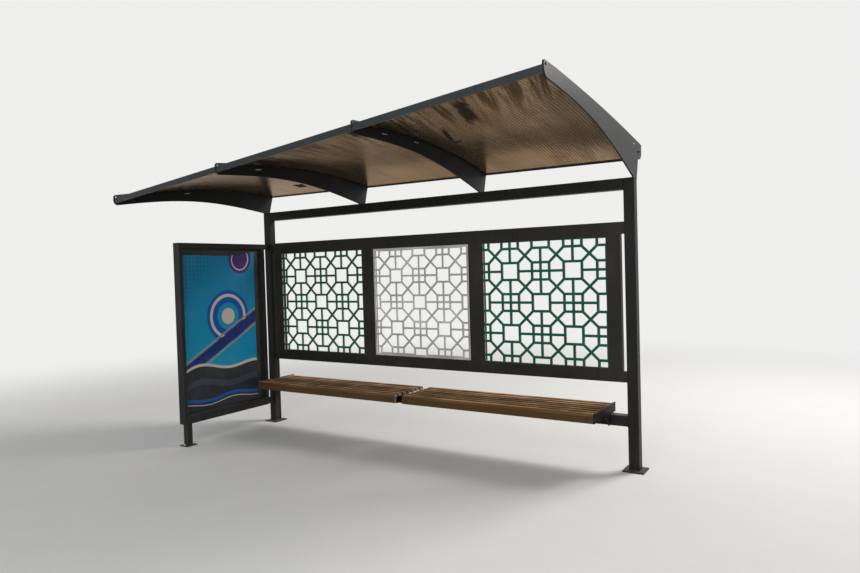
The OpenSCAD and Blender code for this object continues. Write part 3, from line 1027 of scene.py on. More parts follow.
def joined_flat_group() -> bpy.types.NodeTree:
    """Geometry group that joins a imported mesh's split points and shades it flat.

    Returns:
        The node group.
    """
    group = bpy.data.node_groups.new("joined_flat", "GeometryNodeTree")
    for way in ("INPUT", "OUTPUT"):
        group.interface.new_socket("Geometry", in_out=way, socket_type="NodeSocketGeometry")
    source = group.nodes.new("NodeGroupInput")
    joined = group.nodes.new("GeometryNodeMergeByDistance")
    joined.inputs["Distance"].default_value = 0.01 * MM
    flat = group.nodes.new("GeometryNodeSetShadeSmooth")
    flat.inputs["Shade Smooth"].default_value = False
    target = group.nodes.new("NodeGroupOutput")
    group.links.new(source.outputs[0], joined.inputs["Geometry"])
    group.links.new(joined.outputs["Geometry"], flat.inputs["Geometry"])
    group.links.new(flat.outputs["Geometry"], target.inputs[0])
    return group


class Workshop:
    """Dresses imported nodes: soft edges and a finish."""

    sharp_angle: float = 40.0

    def __init__(self) -> None:
        """Makes the shared geometry group and the small parts' finishes."""
        self.joined_flat = joined_flat_group()
        self.welder = Welder()
        self.zinc = SmallPartFinish("zinc_plate", (0.52, 0.52, 0.5), 0.32, metallic=0.9).material()
        self.black_steel = SmallPartFinish("blackened_steel", (0.02, 0.019, 0.018), 0.42,
                                           metallic=0.4).material()
        self.rubber = SmallPartFinish("seal_rubber", (0.012, 0.012, 0.012), 0.6,
                                      stained=(0.1, 0.08, 0.06)).material()

    def dress(self, nodes: Iterable[str], material: bpy.types.Material, edge: float = 0.0) -> None:
        """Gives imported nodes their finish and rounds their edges.

        Args:
            nodes: Names of the nodes.
            material: Their material.
            edge: Radius of their edges in metres, or 0 for none.
        """
        for node in nodes:
            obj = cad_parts[node]
            if not obj.material_slots:
                obj.data.materials.append(material)
            for place in obj.material_slots:
                place.material = material
            if edge:
                obj.modifiers.new("joined_flat", "NODES").node_group = self.joined_flat
                rounded = obj.modifiers.new("rounded", "BEVEL")
                rounded.width = edge
                rounded.segments = 2
                rounded.limit_method = "ANGLE"
                rounded.angle_limit = math.radians(self.sharp_angle)
            log.info("node %s: %s", node, material.name)


# Sub-assemblies


@dataclass
class MainFrame:
    """Posts, beam and base plates, with their weld beads."""

    shop: Workshop
    paint: bpy.types.Material
    tube_edge: float = 4 * MM
    plate_edge: float = 1.2 * MM
    seam: float = 2.2 * MM

    def dress(self) -> None:
        """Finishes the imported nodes."""
        self.shop.dress(("post_left", "post_right", "top_beam"), self.paint, self.tube_edge)
        self.shop.dress(("base_plate_left", "base_plate_right"), self.paint, self.plate_edge)

    def build(self) -> None:
        """Lays the beads at the posts' feet, under the beam and along its flush ends."""
        feet, under, seams = [], [], []
        beam_low, beam_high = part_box("top_beam")
        for side, out in ((Side.LEFT, 1), (Side.RIGHT, -1)):
            low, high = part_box("post_" + side.value)
            feet += round_a_foot(low, high, low.z, 1)
            x = beam_low.x if side is Side.LEFT else beam_high.x
            under.append(WeldLine.along_y(x, beam_low.y, beam_high.y, beam_low.z, (out, 0, -1)))
            seams += [WeldLine.along_z(x, y, beam_low.z, beam_high.z, (0, way, 0))
                      for y, way in ((beam_low.y, -1), (beam_high.y, 1))]
        self.shop.welder.lay("post_foot_beads", feet, self.paint, "post_paint")
        self.shop.welder.lay("beam_beads", under, self.paint, "post_paint")
        self.shop.welder.lay("beam_seams", seams, self.paint, "post_paint", self.seam)


class SheetSurface:
    """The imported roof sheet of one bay, read as a surface."""

    same_place: int = 5    # decimals of a metre to which two points lie on one line along the shelter
    slope_step: float = 20 * MM

    def __init__(self, bay: Bay) -> None:
        """Reads the sheet's four long edges.

        Args:
            bay: The bay.
        """
        self.node = "roof_sheet_" + bay.value
        self.low, self.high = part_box(self.node)
        middle = (self.low.x + self.high.x) / 2
        columns: list[dict[float, list[float]]] = [{}, {}]
        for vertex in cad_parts[self.node].data.vertices:
            x, y, z = vertex.co
            columns[x > middle].setdefault(round(y, self.same_place), []).append(z)
        self.lines = [[[(y, pick(heights[y])) for y in sorted(heights)] for pick in (min, max)]
                      for heights in columns]

    @staticmethod
    def _level(line: Sequence[tuple[float, float]], y: float) -> float:
        """Height of a line at a place, carried on past its ends.

        Args:
            line: Pairs of Y and Z in order.
            y: The place.

        Returns:
            The height there.
        """
        i = 1
        while i < len(line) - 1 and y > line[i][0]:
            i += 1
        (y0, z0), (y1, z1) = line[i - 1], line[i]
        return z0 + (z1 - z0) * (y - y0) / (y1 - y0)

    def height(self, x: float, y: float, upper: bool = False) -> float:
        """Height of the sheet's lower or upper face.

        Args:
            x: Place along the shelter.
            y: Place across it.
            upper: True for the upper face.

        Returns:
            The height.
        """
        share = (x - self.low.x) / (self.high.x - self.low.x)
        left, right = (self._level(self.lines[end][upper], y) for end in (0, 1))
        return left + (right - left) * share

    def normal(self, x: float, y: float) -> Vector:
        """Upward normal of the sheet's lower face.

        Args:
            x: Place along the shelter.
            y: Place across it.

        Returns:
            The normal.
        """
        step = self.slope_step
        run = Vector((step, 0, self.height(x + step, y) - self.height(x, y)))
        reach = Vector((0, step, self.height(x, y + step) - self.height(x, y)))
        return run.cross(reach).normalized()


@dataclass
class HollowSheet:
    """One bay's hollow sheet, whose ribs show as shallow flutes."""

    surface: SheetSurface
    bay: Bay
    stains: tuple[Stain, ...]
    # strength of the painted reflection streaks on this bay
    streak_reflection_share: float
    rib_pitch: float = 24 * MM
    flute_depth: float = 0.45 * MM
    steps: int = 40
    across: int = 6

    def build(self) -> None:
        """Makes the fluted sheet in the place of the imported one."""
        low, high = self.surface.low, self.surface.high
        ribs = round((high.x - low.x) / self.rib_pitch)
        count = ribs * self.across
        flutes = [(low.x + (high.x - low.x) * k / count,
                   self.flute_depth * math.sin(math.pi * (k % self.across) / self.across))
                  for k in range(count + 1)]
        rings = []
        for i in range(self.steps + 1):
            y = low.y + (high.y - low.y) * i / self.steps
            lower = [(x, y, self.surface.height(x, y) + depth) for x, depth in flutes]
            upper = [(x, y, self.surface.height(x, y, True) - depth) for x, depth in flutes]
            rings.append(lower + upper[::-1])
        shape = Shape()
        shape.loft(rings)
        finish = BronzeSheet("bronze_sheet_" + self.bay.value, low.x, (high.x - low.x) / ribs, self.stains,
                             self.streak_reflection_share)
        shape.piece("hollow_sheet_" + self.bay.value, finish.material(), "roof_sheet", [self.surface.node],
                    smooth=SOFT_ANGLE)


@dataclass
class Roof:
    """Arms, ledges, sheets, front bar and rear channel."""

    shop: Workshop
    arm_paint: bpy.types.Material
    fascia_paint: bpy.types.Material
    dark_paint: bpy.types.Material
    plate_edge: float = 1.0 * MM
    arm_gap: float = 0.3 * MM
    ledge_width: float = 18 * MM
    ledge_drop: float = 5.3 * MM
    screw_spacing: float = 265 * MM
    first_screw: float = 60 * MM
    last_screw: float = 40 * MM
    sheet_screw: HexBolt = HexBolt(10 * MM, 4.5 * MM, 16 * MM)
    ledge_nut: HexBolt = HexBolt(10 * MM, 5 * MM, 14 * MM)
    seal_radius: float = 10.5 * MM
    seal_height: float = 2.6 * MM
    stitch_length: float = 32 * MM
    stitch_pitch: float = 190 * MM
    stitch_margin: float = 90 * MM
    stitch_size: float = 3 * MM
    bar_bead_drop: float = 34 * MM
    bar_bead_front: float = 9 * MM
    bar_bead_rear: float = -6 * MM
    bar_bead_size: float = 2.6 * MM
    sealant_size: float = 4 * MM
    sealant_margin: float = 25 * MM
    sealant_steps: int = 90
    clip_drop: float = 27 * MM
    clip_half: float = 29 * MM
    clip_end: float = 2.8 * MM
    clip_thick: float = 2.5 * MM
    clip_ease: float = 0.8 * MM
    heel_bolt: HexBolt = HexBolt(13 * MM, 7 * MM, 22 * MM)
    heel_screw: DomeScrew = DomeScrew(5.5 * MM, 3.5 * MM)
    heel_bolt_place: tuple[float, float] = (0.105, 0.2)
    heel_screw_place: tuple[float, float] = (-0.016, 0.241)
    surfaces: dict[Bay, SheetSurface] = field(default_factory=lambda: {bay: SheetSurface(bay) for bay in Bay})
    # the clips stand in for sun glints between sheet and arm: a stand-in highlight made of bright zinc pieces
    glint_clip_places: dict[Bay, tuple[float, ...]] = field(default_factory=lambda: {
        Bay.LEFT: (-0.98,), Bay.MIDDLE: (-1.29,), Bay.RIGHT: (-1.36, -0.98)})
    # strength of the painted reflection streaks on each bay
    streak_reflection_shares: dict[Bay, float] = field(default_factory=lambda: {
        Bay.LEFT: 0.3, Bay.MIDDLE: 0.75, Bay.RIGHT: 0.92})
    stains: dict[Bay, tuple[Stain, ...]] = field(default_factory=lambda: {
        Bay.LEFT: (Stain(1.008, -0.24, 0.06, 0.07, 1.0),),
        Bay.MIDDLE: (Stain(2.31, -1.5, 0.05, 0.13, 0.8),),
        Bay.RIGHT: (Stain(3.1, -1.3, 0.05, 0.25, 0.85), Stain(2.85, -0.9, 0.02, 0.17, 0.9),
                    Stain(2.884, -0.72, 0.05, 0.02, 0.9), Stain(3.83, -0.75, 0.3, 0.7, 0.22)),
    })

    def dress(self) -> None:
        """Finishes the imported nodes."""
        self.shop.dress([f"roof_arm_{i}" for i in ARMS], self.arm_paint, self.plate_edge)
        self.shop.dress([f"sheet_ledges_{bay.value}" for bay in Bay], self.dark_paint)
        self.shop.dress(["roof_fascia"], self.fascia_paint)
        self.shop.dress(["roof_rear_channel"], self.dark_paint)

    def build(self) -> None:
        """Makes the sheets and everything that holds them."""
        for bay, surface in self.surfaces.items():
            HollowSheet(surface, bay, self.stains[bay], self.streak_reflection_shares[bay]).build()
        self._fit_screws()
        self._lay_beads()
        self._lay_sealant()
        self._fit_glint_clips()
        self._fit_heels()

    def _edges(self) -> list[tuple[Bay, SheetSurface, float, int]]:
        """Each sheet's two long sides: bay, surface, X of the arm's face and the way to the sheet."""
        return [(bay, surface, x, way) for bay, surface in self.surfaces.items()
                for x, way in ((surface.low.x - self.arm_gap, 1), (surface.high.x + self.arm_gap, -1))]

    def _screw_places(self) -> list[tuple[float, float, SheetSurface]]:
        """Finds the places of the screws, over the middle of each ledge.

        Returns:
            X and Y of each, with the surface that it goes through.
        """
        places = []
        for _, surface, x, way in self._edges():
            y = surface.low.y + self.first_screw
            while y < surface.high.y - self.last_screw:
                places.append((x + way * self.ledge_width / 2, y, surface))
                y += self.screw_spacing
        return places

    def _fit_screws(self) -> None:
        """Fits screws with seal washers through the sheets, and nuts under the ledges."""
        seals, heads, nuts = Shape(), [], []
        rim, height = self.seal_radius, self.seal_height
        profile = [(rim, 0.0), (rim, height - MM), (rim - 2 * MM, height)]
        for x, y, surface in self._screw_places():
            up = surface.normal(x, y)
            top = Vector((x, y, surface.height(x, y, True)))
            seals.turned(top, up, profile, 24)
            heads.append((top + up * height, up))
            nuts.append((Vector((x, y, surface.height(x, y))) - up * self.ledge_drop, -up))
        seals.piece("seal_washers", self.shop.rubber, "channel_paint")
        fit_heads("sheet_screws", self.sheet_screw, heads, self.shop.zinc, "lattice_silver")
        fit_heads("ledge_nuts", self.ledge_nut, nuts, self.shop.black_steel, "bracket_paint", 5)

    def _lay_beads(self) -> None:
        """Lays the beads at the arms' feet, along the ledges and at the front bar's ends."""
        stitches, ends = [], []
        bar_low, bar_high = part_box("roof_fascia")
        for _, surface, x, way in self._edges():
            y = surface.low.y + self.stitch_margin
            while y < surface.high.y - self.stitch_margin:
                start, end = ((x, v, surface.height(x, v) - self.ledge_drop)
                              for v in (y, y + self.stitch_length))
                stitches.append(WeldLine(start, end, (way, 0, -1)))
                y += self.stitch_pitch
            for y, out, top in ((bar_low.y, -1, self.bar_bead_front), (bar_high.y, 1, self.bar_bead_rear)):
                z = surface.height(x, y)
                ends.append(WeldLine.along_z(x, y, z - self.bar_bead_drop, z + top, (way, out, 0)))
        lay = self.shop.welder.lay
        lay("arm_foot_beads", self._arm_feet(), self.arm_paint, "arm_paint")
        lay("ledge_stitches", stitches, self.dark_paint, "channel_paint", self.stitch_size)
        lay("front_bar_beads", ends, self.fascia_paint, "fascia_paint", self.bar_bead_size)

    @staticmethod
    def _arm_feet() -> list[WeldLine]:
        """Finds where the arms stand on the beam, apart from the faces flush with its ends.

        Returns:
            The lines of the beads there.
        """
        post_low, post_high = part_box("post_left")
        first, last = post_low.x + MM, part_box("post_right")[1].x - MM
        lines = []
        for i in ARMS:
            low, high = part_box(f"roof_arm_{i}")
            lines += [WeldLine.along_y(x, post_low.y, post_high.y, post_high.z, (way, 0, 1))
                      for x, way in ((low.x, -1), (high.x, 1)) if first < x < last]
        return lines

    def _lay_sealant(self) -> None:
        """Lays a line of sealant between each sheet's upper face and the arm beside it."""
        hand = random.Random(23)
        shape = Shape()
        for _, surface, x, way in self._edges():
            first, last = surface.low.y + self.sealant_margin, surface.high.y - self.sealant_margin
            ys = [first + (last - first) * i / self.sealant_steps for i in range(self.sealant_steps + 1)]
            path = [(x + way * 2 * self.arm_gap, y, surface.height(x, y, True)) for y in ys]
            shape.strand(path, (way, 0, 1), [self.sealant_size * (1 + hand.uniform(-0.18, 0.22)) for _ in ys])
        shape.piece("sealant_lines", self.shop.rubber, "channel_paint", smooth=SOFT_ANGLE)

    def _fit_glint_clips(self) -> None:
        """Fits bright zinc clips on the arms' faces under the sheets, placed to stand in for sun glints in
        the gaps there.
        """
        shape = Shape()
        half, end, thick = self.clip_half, self.clip_end, self.clip_thick
        turns = [2 * math.pi * k / 16 for k in range(16)]
        for bay, surface, x, way in self._edges():
            for y in self.glint_clip_places[bay]:
                z = surface.height(x, y) - self.clip_drop
                slope = (surface.height(x, y + half) - surface.height(x, y - half)) / (2 * half)
                rings = []
                for out, inset in ((0.0, 0.0), (0.8 * thick, 0.0), (thick, self.clip_ease)):
                    outline = [(math.copysign(half - end, math.cos(a)) + (end - inset) * math.cos(a),
                                (end - inset) * math.sin(a)) for a in turns]
                    rings.append([(x + way * out, y + u, z + v + slope * u) for u, v in outline])
                shape.loft(rings)
        shape.piece("glint_clips", self.shop.zinc, "lattice_silver")

    def _fit_heels(self) -> None:
        """Fits the bolts and screws through the arms' heels, with a head on either face."""
        bolts, screws = [], []
        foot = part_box("top_beam")[1].z
        for i in ARMS:
            low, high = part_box(f"roof_arm_{i}")
            for x, way in ((low.x, -1), (high.x, 1)):
                for heads, (y, rise) in ((bolts, self.heel_bolt_place), (screws, self.heel_screw_place)):
                    heads.append(((x, y, foot + rise), (way, 0, 0)))
        fit_heads("heel_bolts", self.heel_bolt, bolts, self.shop.black_steel, "bracket_paint")
        fit_heads("heel_screws", self.heel_screw, screws, self.shop.zinc, "lattice_silver")


@dataclass(frozen=True)
class LatticePattern:
    """Traditional lattice in millimetres: squares on a grid, every other one crossed, joined by slants."""

    middle: tuple[float, float]
    pitch: tuple[float, float]
    hole: tuple[float, float]
    bar: float
    border: float
    reach: int = 2
    same_point: float = 0.01

    def _square(self, x: float, z: float) -> list[list[tuple[float, float]]]:
        """The four bars of the hollow square round a place.

        Args:
            x: X of its middle.
            z: Z of its middle.

        Returns:
            The corners of each bar.
        """
        w, h, b = self.hole[0] / 2, self.hole[1] / 2, self.bar
        left, right, base, top = x - w - b, x + w + b, z - h - b, z + h + b
        return [self._block(left, base, right, z - h), self._block(left, z + h, right, top),
                self._block(left, base, x - w, top), self._block(x + w, base, right, top)]

    @staticmethod
    def _block(x0: float, z0: float, x1: float, z1: float) -> list[tuple[float, float]]:
        """Corners of an upright block."""
        return [(x0, z0), (x1, z0), (x1, z1), (x0, z1)]

    def _slant(self, start: Point, end: Point) -> list[tuple[float, float]]:
        """Corners of a slanting bar.

        Args:
            start: X and Z of one end.
            end: X and Z of the other end.

        Returns:
            The corners.
        """
        x, z = Vector((end[0] - start[0], end[1] - start[1])).normalized() * (self.bar / 2)
        return [(start[0] + z, start[1] - x), (end[0] + z, end[1] - x), (end[0] - z, end[1] + x),
                (start[0] - z, start[1] + x)]

    def _bars(self, x0: float, z0: float, x1: float, z1: float) -> list[list[tuple[float, float]]]:
        """All bars of a panel.

        Args:
            x0: Left side of the panel.
            z0: Its lower side.
            x1: Its right side.
            z1: Its upper side.

        Returns:
            The corners of each bar.
        """
        b, half = self.border, self.bar / 2
        bars = [self._block(x0, z0, x0 + b, z1), self._block(x1 - b, z0, x1, z1),
                self._block(x0, z0, x1, z0 + b), self._block(x0, z1 - b, x1, z1)]
        px, pz = self.pitch
        cx, cz = (self.hole[0] + self.bar) / 2, (self.hole[1] + self.bar) / 2
        grid = range(-self.reach, self.reach + 1)
        for i in grid:
            for j in grid:
                x, z = self.middle[0] + i * px, self.middle[1] + j * pz
                bars += self._square(x, z)
                if (i + j) % 2:
                    bars.append(self._block(x - px + cx, z - half, x + px - cx, z + half))
                    bars.append(self._block(x - half, z - pz + cz, x + half, z + pz - cz))
                if i < self.reach and j < self.reach:
                    bars.append(self._slant((x + cx, z + cz), (x + px - cx, z + pz - cz)))
                    bars.append(self._slant((x + cx, z + pz - cz), (x + px - cx, z + cz)))
        return bars

    def outline(self, low: Point, high: Point) -> Outline:
        """The panel's bars, fused where they cross and cut off at its sides.

        Args:
            low: Lowest corner of the panel in metres.
            high: Its highest corner.

        Returns:
            Points as X and Z in metres, and faces.
        """
        x0, z0, x1, z1 = (v / MM for v in (low[0], low[2], high[0], high[2]))
        origin = Vector(((x0 + x1) / 2, (z0 + z1) / 2))
        panel = 0
        shapes = [self._block(x0, z0, x1, z1), *self._bars(x0, z0, x1, z1)]
        points = [Vector(corner) - origin for shape in shapes for corner in shape]
        quads = [list(range(4 * k, 4 * k + 4)) for k in range(len(shapes))]
        places, _, cells, _, _, owners = delaunay_2d_cdt(points, [], quads, 0, self.same_point, True)
        work = bmesh.new()
        made = [work.verts.new((*(place + origin), 0.0)) for place in places]
        for cell, owned_by in zip(cells, owners):
            if panel in owned_by and len(owned_by) > 1:
                work.faces.new([made[k] for k in cell])
        loose = [corner for corner in work.verts if not corner.link_faces]
        bmesh.ops.delete(work, geom=loose, context="VERTS")
        work.verts.index_update()
        result = ([(v.co.x * MM, v.co.y * MM) for v in work.verts],
                  [[v.index for v in face.verts] for face in work.faces])
        work.free()
        return result


@dataclass
class BackScreen:
    """Rails, stiles and the three lattice panels."""

    shop: Workshop
    paint: bpy.types.Material
    green: bpy.types.Material
    silver: bpy.types.Material
    tube_edge: float = 2.5 * MM
    slot_overrun: float = 20 * MM
    stitch_length: float = 26 * MM
    stitch_count: int = 6
    stitch_size: float = 3.4 * MM
    patterns: dict[Bay, LatticePattern] = field(default_factory=lambda: {
        Bay.LEFT: LatticePattern((707.5, 1257.0), (268.0, 255.0), (127.0, 116.0), 20.0, 4.0),
        Bay.MIDDLE: LatticePattern((1873.0, 1257.0), (251.5, 237.8), (112.0, 103.0), 17.0, 20.0),
        Bay.RIGHT: LatticePattern((3036.0, 1255.0), (267.5, 254.3), (126.0, 117.0), 21.0, 4.0),
    })

    def dress(self) -> None:
        """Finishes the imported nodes."""
        rails = ("screen_top_rail", "screen_bottom_rail", "end_stile_left", "end_stile_right",
                 "middle_stile_left", "middle_stile_right")
        self.shop.dress(rails, self.paint, self.tube_edge)

    def build(self) -> None:
        """Cuts the panels, and lays the beads at the rails' ends and the stitches behind the panels."""
        self._cut_panels()
        self._lay_rail_ends()
        self._stitch_panels()

    def _cut_panels(self) -> None:
        """Makes the three panels, fused where their bars cross."""
        for bay, pattern in self.patterns.items():
            node = "lattice_" + bay.value
            low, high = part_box(node)
            shape = Shape()
            shape.sheet(pattern.outline(low, high), low.y, high.y)
            middle = bay is Bay.MIDDLE
            shape.piece("lattice_panel_" + bay.value, self.silver if middle else self.green,
                        "lattice_silver" if middle else "lattice_green", [node], smooth=0.0)

    def _lay_rail_ends(self) -> None:
        """Lays the beads where the two rails meet the posts."""
        lines = []
        top_low, top_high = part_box("screen_top_rail")
        base_low, base_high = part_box("screen_bottom_rail")
        for low, high, z0, z1 in ((top_low, top_high, top_low.z + self.slot_overrun, top_high.z),
                                  (base_low, base_high, base_low.z, base_high.z - self.slot_overrun)):
            for x, way in ((low.x, 1), (high.x, -1)):
                lines += [WeldLine.along_z(x, low.y, z0, z1, (way, -1, 0)),
                          WeldLine.along_z(x, high.y, z0, z1, (way, 1, 0)),
                          WeldLine.along_y(x, low.y, high.y, z0, (way, 0, -1)),
                          WeldLine.along_y(x, low.y, high.y, z1, (way, 0, 1))]
        self.shop.welder.lay("rail_end_beads", lines, self.paint, "post_paint")

    def _stitch_panels(self) -> None:
        """Lays short beads behind each panel, all round it."""
        lines = []
        half = self.stitch_length / 2
        for bay in Bay:
            low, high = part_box("lattice_" + bay.value)
            for i in range(self.stitch_count):
                share = (i + 0.5) / self.stitch_count
                x = low.x + (high.x - low.x) * share
                z = low.z + (high.z - low.z) * share
                lines += [WeldLine.along_x(x - half, x + half, high.y, low.z, (0, 1, 1)),
                          WeldLine.along_x(x - half, x + half, high.y, high.z, (0, 1, -1)),
                          WeldLine.along_z(low.x, high.y, z - half, z + half, (1, 1, 0)),
                          WeldLine.along_z(high.x, high.y, z - half, z + half, (-1, 1, 0))]
        self.shop.welder.lay("panel_stitches", lines, self.paint, "post_paint", self.stitch_size)


@dataclass
class Bench:
    """Rail, brackets, slats and front boards."""

    shop: Workshop
    paint: bpy.types.Material
    bracket_paint: bpy.types.Material
    slope: float = math.radians(0.5)
    slats: int = 7
    slat_width: float = 49 * MM
    slat_pitch: float = 66.85 * MM
    slat_thickness: float = 25 * MM
    round_edge: float = 4 * MM
    end_ease: float = 1.5 * MM
    unevenness: float = 0.5 * MM
    uneven_cut: float = 7 * MM
    segments: int = 60
    slat_screw: DomeScrew = DomeScrew(5 * MM, 2.6 * MM)
    screw_inset: float = 20 * MM
    screw_sink: float = 0.4 * MM
    board_slack: float = 0.7 * MM
    board_lift: float = 0.4 * MM
    board_bolt: HexBolt = HexBolt(10 * MM, 4 * MM, 18 * MM)
    bolt_insets: tuple[float, float] = (40 * MM, 45 * MM)
    bolt_rise: float = 3 * MM
    bolt_sink: float = 0.3 * MM
    rail_edge: float = 4 * MM
    plate_edge: float = 0.8 * MM
    end_plate: float = 10 * MM
    end_plate_gaps: tuple[float, float] = (0.3 * MM, 0.6 * MM)
    seam: float = 2.2 * MM
    plate_bead: float = 3.5 * MM
    hand: random.Random = field(default_factory=lambda: random.Random(7))

    def __post_init__(self) -> None:
        """Sets up the seat's own frame: y to the rear and z square to the seat, from its front edge."""
        low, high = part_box("seat_slats_left")
        self.tilt = Matrix.Rotation(-self.slope, 3, "X")
        self.origin = Vector((0.0, low.y + self.slat_thickness * math.sin(self.slope), high.z))

    def on_seat(self, place: Point) -> Vector:
        """A place in the seat's frame, brought into the shared frame."""
        return self.origin + self.tilt @ Vector(place)

    def _board(self, shape: Shape, low: Vector, size: Vector) -> None:
        """Adds one board with rounded edges and a slightly uneven upper face.

        Args:
            shape: Where it is added.
            low: Its lowest corner in the seat's frame.
            size: Its length, width and thickness.
        """
        r = self.round_edge
        rounds = ((size.y - r, size.z - r, 0), (r, size.z - r, 90), (r, r, 180), (size.y - r, r, 270))
        outline = [(y + r * math.cos(a), z + r * math.sin(a)) for y, z, start in rounds
                   for a in (math.radians(start + 30 * k) for k in range(4))]
        waves = [(self.hand.uniform(-self.unevenness, self.unevenness) / n, self.hand.uniform(0, 6))
                 for n in range(1, 7)]
        steps = [size.x * i / self.segments for i in range(1, self.segments)]
        rings = []
        for x in [0.0, self.end_ease, *steps, size.x - self.end_ease, size.x]:
            inset = self.end_ease if x in (0.0, size.x) else 0.0
            sag = abs(sum(d * math.sin(n * math.pi * x / size.x + p) for n, (d, p) in enumerate(waves, 1)))
            ring = []
            for y, z in outline:
                lift = z - sag if z > r else z
                ring.append(self.on_seat((low.x + x, low.y + min(max(y, inset), size.y - inset),
                                          low.z + min(max(lift, inset), size.z - inset))))
            rings.append(ring)
        shape.loft(rings)

    def dress(self) -> None:
        """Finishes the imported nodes."""
        self.shop.dress(["bench_rail"], self.paint, self.rail_edge)
        plates = [f"seat_{kind}_{side.value}" for kind in ("end_plate", "bracket") for side in Side]
        self.shop.dress(plates, self.bracket_paint, self.plate_edge)

    def build(self, slat_wood: bpy.types.Material, board_wood: bpy.types.Material) -> None:
        """Makes the slats and front boards of both units, with their screws and beads.

        Args:
            slat_wood: Timber of the slats.
            board_wood: Timber of the front boards.
        """
        screws, bolts = [], []
        for side in Side:
            screws += self._lay_slats(side, slat_wood)
            bolts += self._fit_front_board(side, board_wood)
        steel = self.shop.black_steel
        fit_heads("slat_screws", self.slat_screw, screws, steel, "bracket_paint")
        fit_heads("front_board_bolts", self.board_bolt, bolts, steel, "bracket_paint", 9)
        self._lay_beads()

    def _lay_slats(self, side: Side, wood: bpy.types.Material) -> list[tuple[Vector, Vector]]:
        """Makes the slats of one unit, cut a little unevenly at the middle of the bench.

        Args:
            side: The unit.
            wood: Its timber.

        Returns:
            Seats and directions of the slats' screws.
        """
        low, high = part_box("seat_slats_" + side.value)
        bracket_low, bracket_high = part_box("seat_bracket_" + side.value)
        end = low.x + self.screw_inset if side is Side.LEFT else high.x - self.screw_inset
        inner = (bracket_low.x + bracket_high.x) / 2
        up = self.tilt @ Vector((0, 0, 1))
        shape, screws = Shape(), []
        for i in range(self.slats):
            short = self.hand.uniform(0, self.uneven_cut)
            left = low.x + (short if side is Side.RIGHT else 0.0)
            size = Vector((high.x - low.x - short, self.slat_width, self.slat_thickness))
            self._board(shape, Vector((left, i * self.slat_pitch, -self.slat_thickness)), size)
            middle = i * self.slat_pitch + self.slat_width / 2
            screws += [(self.on_seat((x, middle, -self.screw_sink)), up) for x in (end, inner)]
        shape.piece("slats_" + side.value, wood, "seat_wood", ["seat_slats_" + side.value])
        return screws

    def _fit_front_board(self, side: Side, wood: bpy.types.Material) -> list[tuple[Vector, Vector]]:
        """Makes the front board of one unit.

        Args:
            side: The unit.
            wood: Its timber.

        Returns:
            Seats and directions of the board's bolts.
        """
        low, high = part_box("seat_apron_" + side.value)
        shape = Shape()
        size = Vector((high.x - low.x, high.y - low.y - self.board_slack, high.z - low.z - self.board_slack))
        self._board(shape, Vector((low.x, 0.0, low.z - self.origin.z + self.board_lift)), size)
        shape.piece("front_board_" + side.value, wood, "apron_wood", ["seat_apron_" + side.value])
        y, z = low.y + self.bolt_sink, (low.z + high.z) / 2 + self.bolt_rise
        return [(Vector((x, y, z)), Vector((0, -1, 0)))
                for x in (low.x + self.bolt_insets[0], high.x - self.bolt_insets[1])]

    def _lay_beads(self) -> None:
        """Lays the beads at the rail's ends and round the plates that it carries."""
        low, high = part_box("bench_rail")
        ends, seams, plates = [], [], []
        for x, way in ((low.x, 1), (high.x, -1)):
            ends += [WeldLine.along_y(x, low.y, high.y, z, (way, 0, up))
                     for z, up in ((low.z, -1), (high.z, 1))]
            seams += [WeldLine.along_z(x, y, low.z, high.z, (0, out, 0))
                      for y, out in ((low.y, -1), (high.y, 1))]
        inner = [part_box(f"seat_bracket_{side.value}")[0].x for side in Side]
        left_gap, right_gap = self.end_plate_gaps
        outer = [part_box("seat_slats_left")[0].x - left_gap - self.end_plate,
                 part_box("seat_slats_right")[1].x + right_gap]
        for left in inner + outer:
            for x, way in ((left, -1), (left + self.end_plate, 1)):
                plates += [WeldLine.along_z(x, low.y, low.z, high.z, (way, -1, 0)),
                           WeldLine.along_y(x, low.y, high.y, high.z, (way, 0, 1))]
        lay = self.shop.welder.lay
        lay("bench_rail_beads", ends, self.paint, "post_paint")
        lay("bench_rail_seams", seams, self.paint, "post_paint", self.seam)
        lay("seat_plate_beads", plates, self.bracket_paint, "bracket_paint", self.plate_bead)


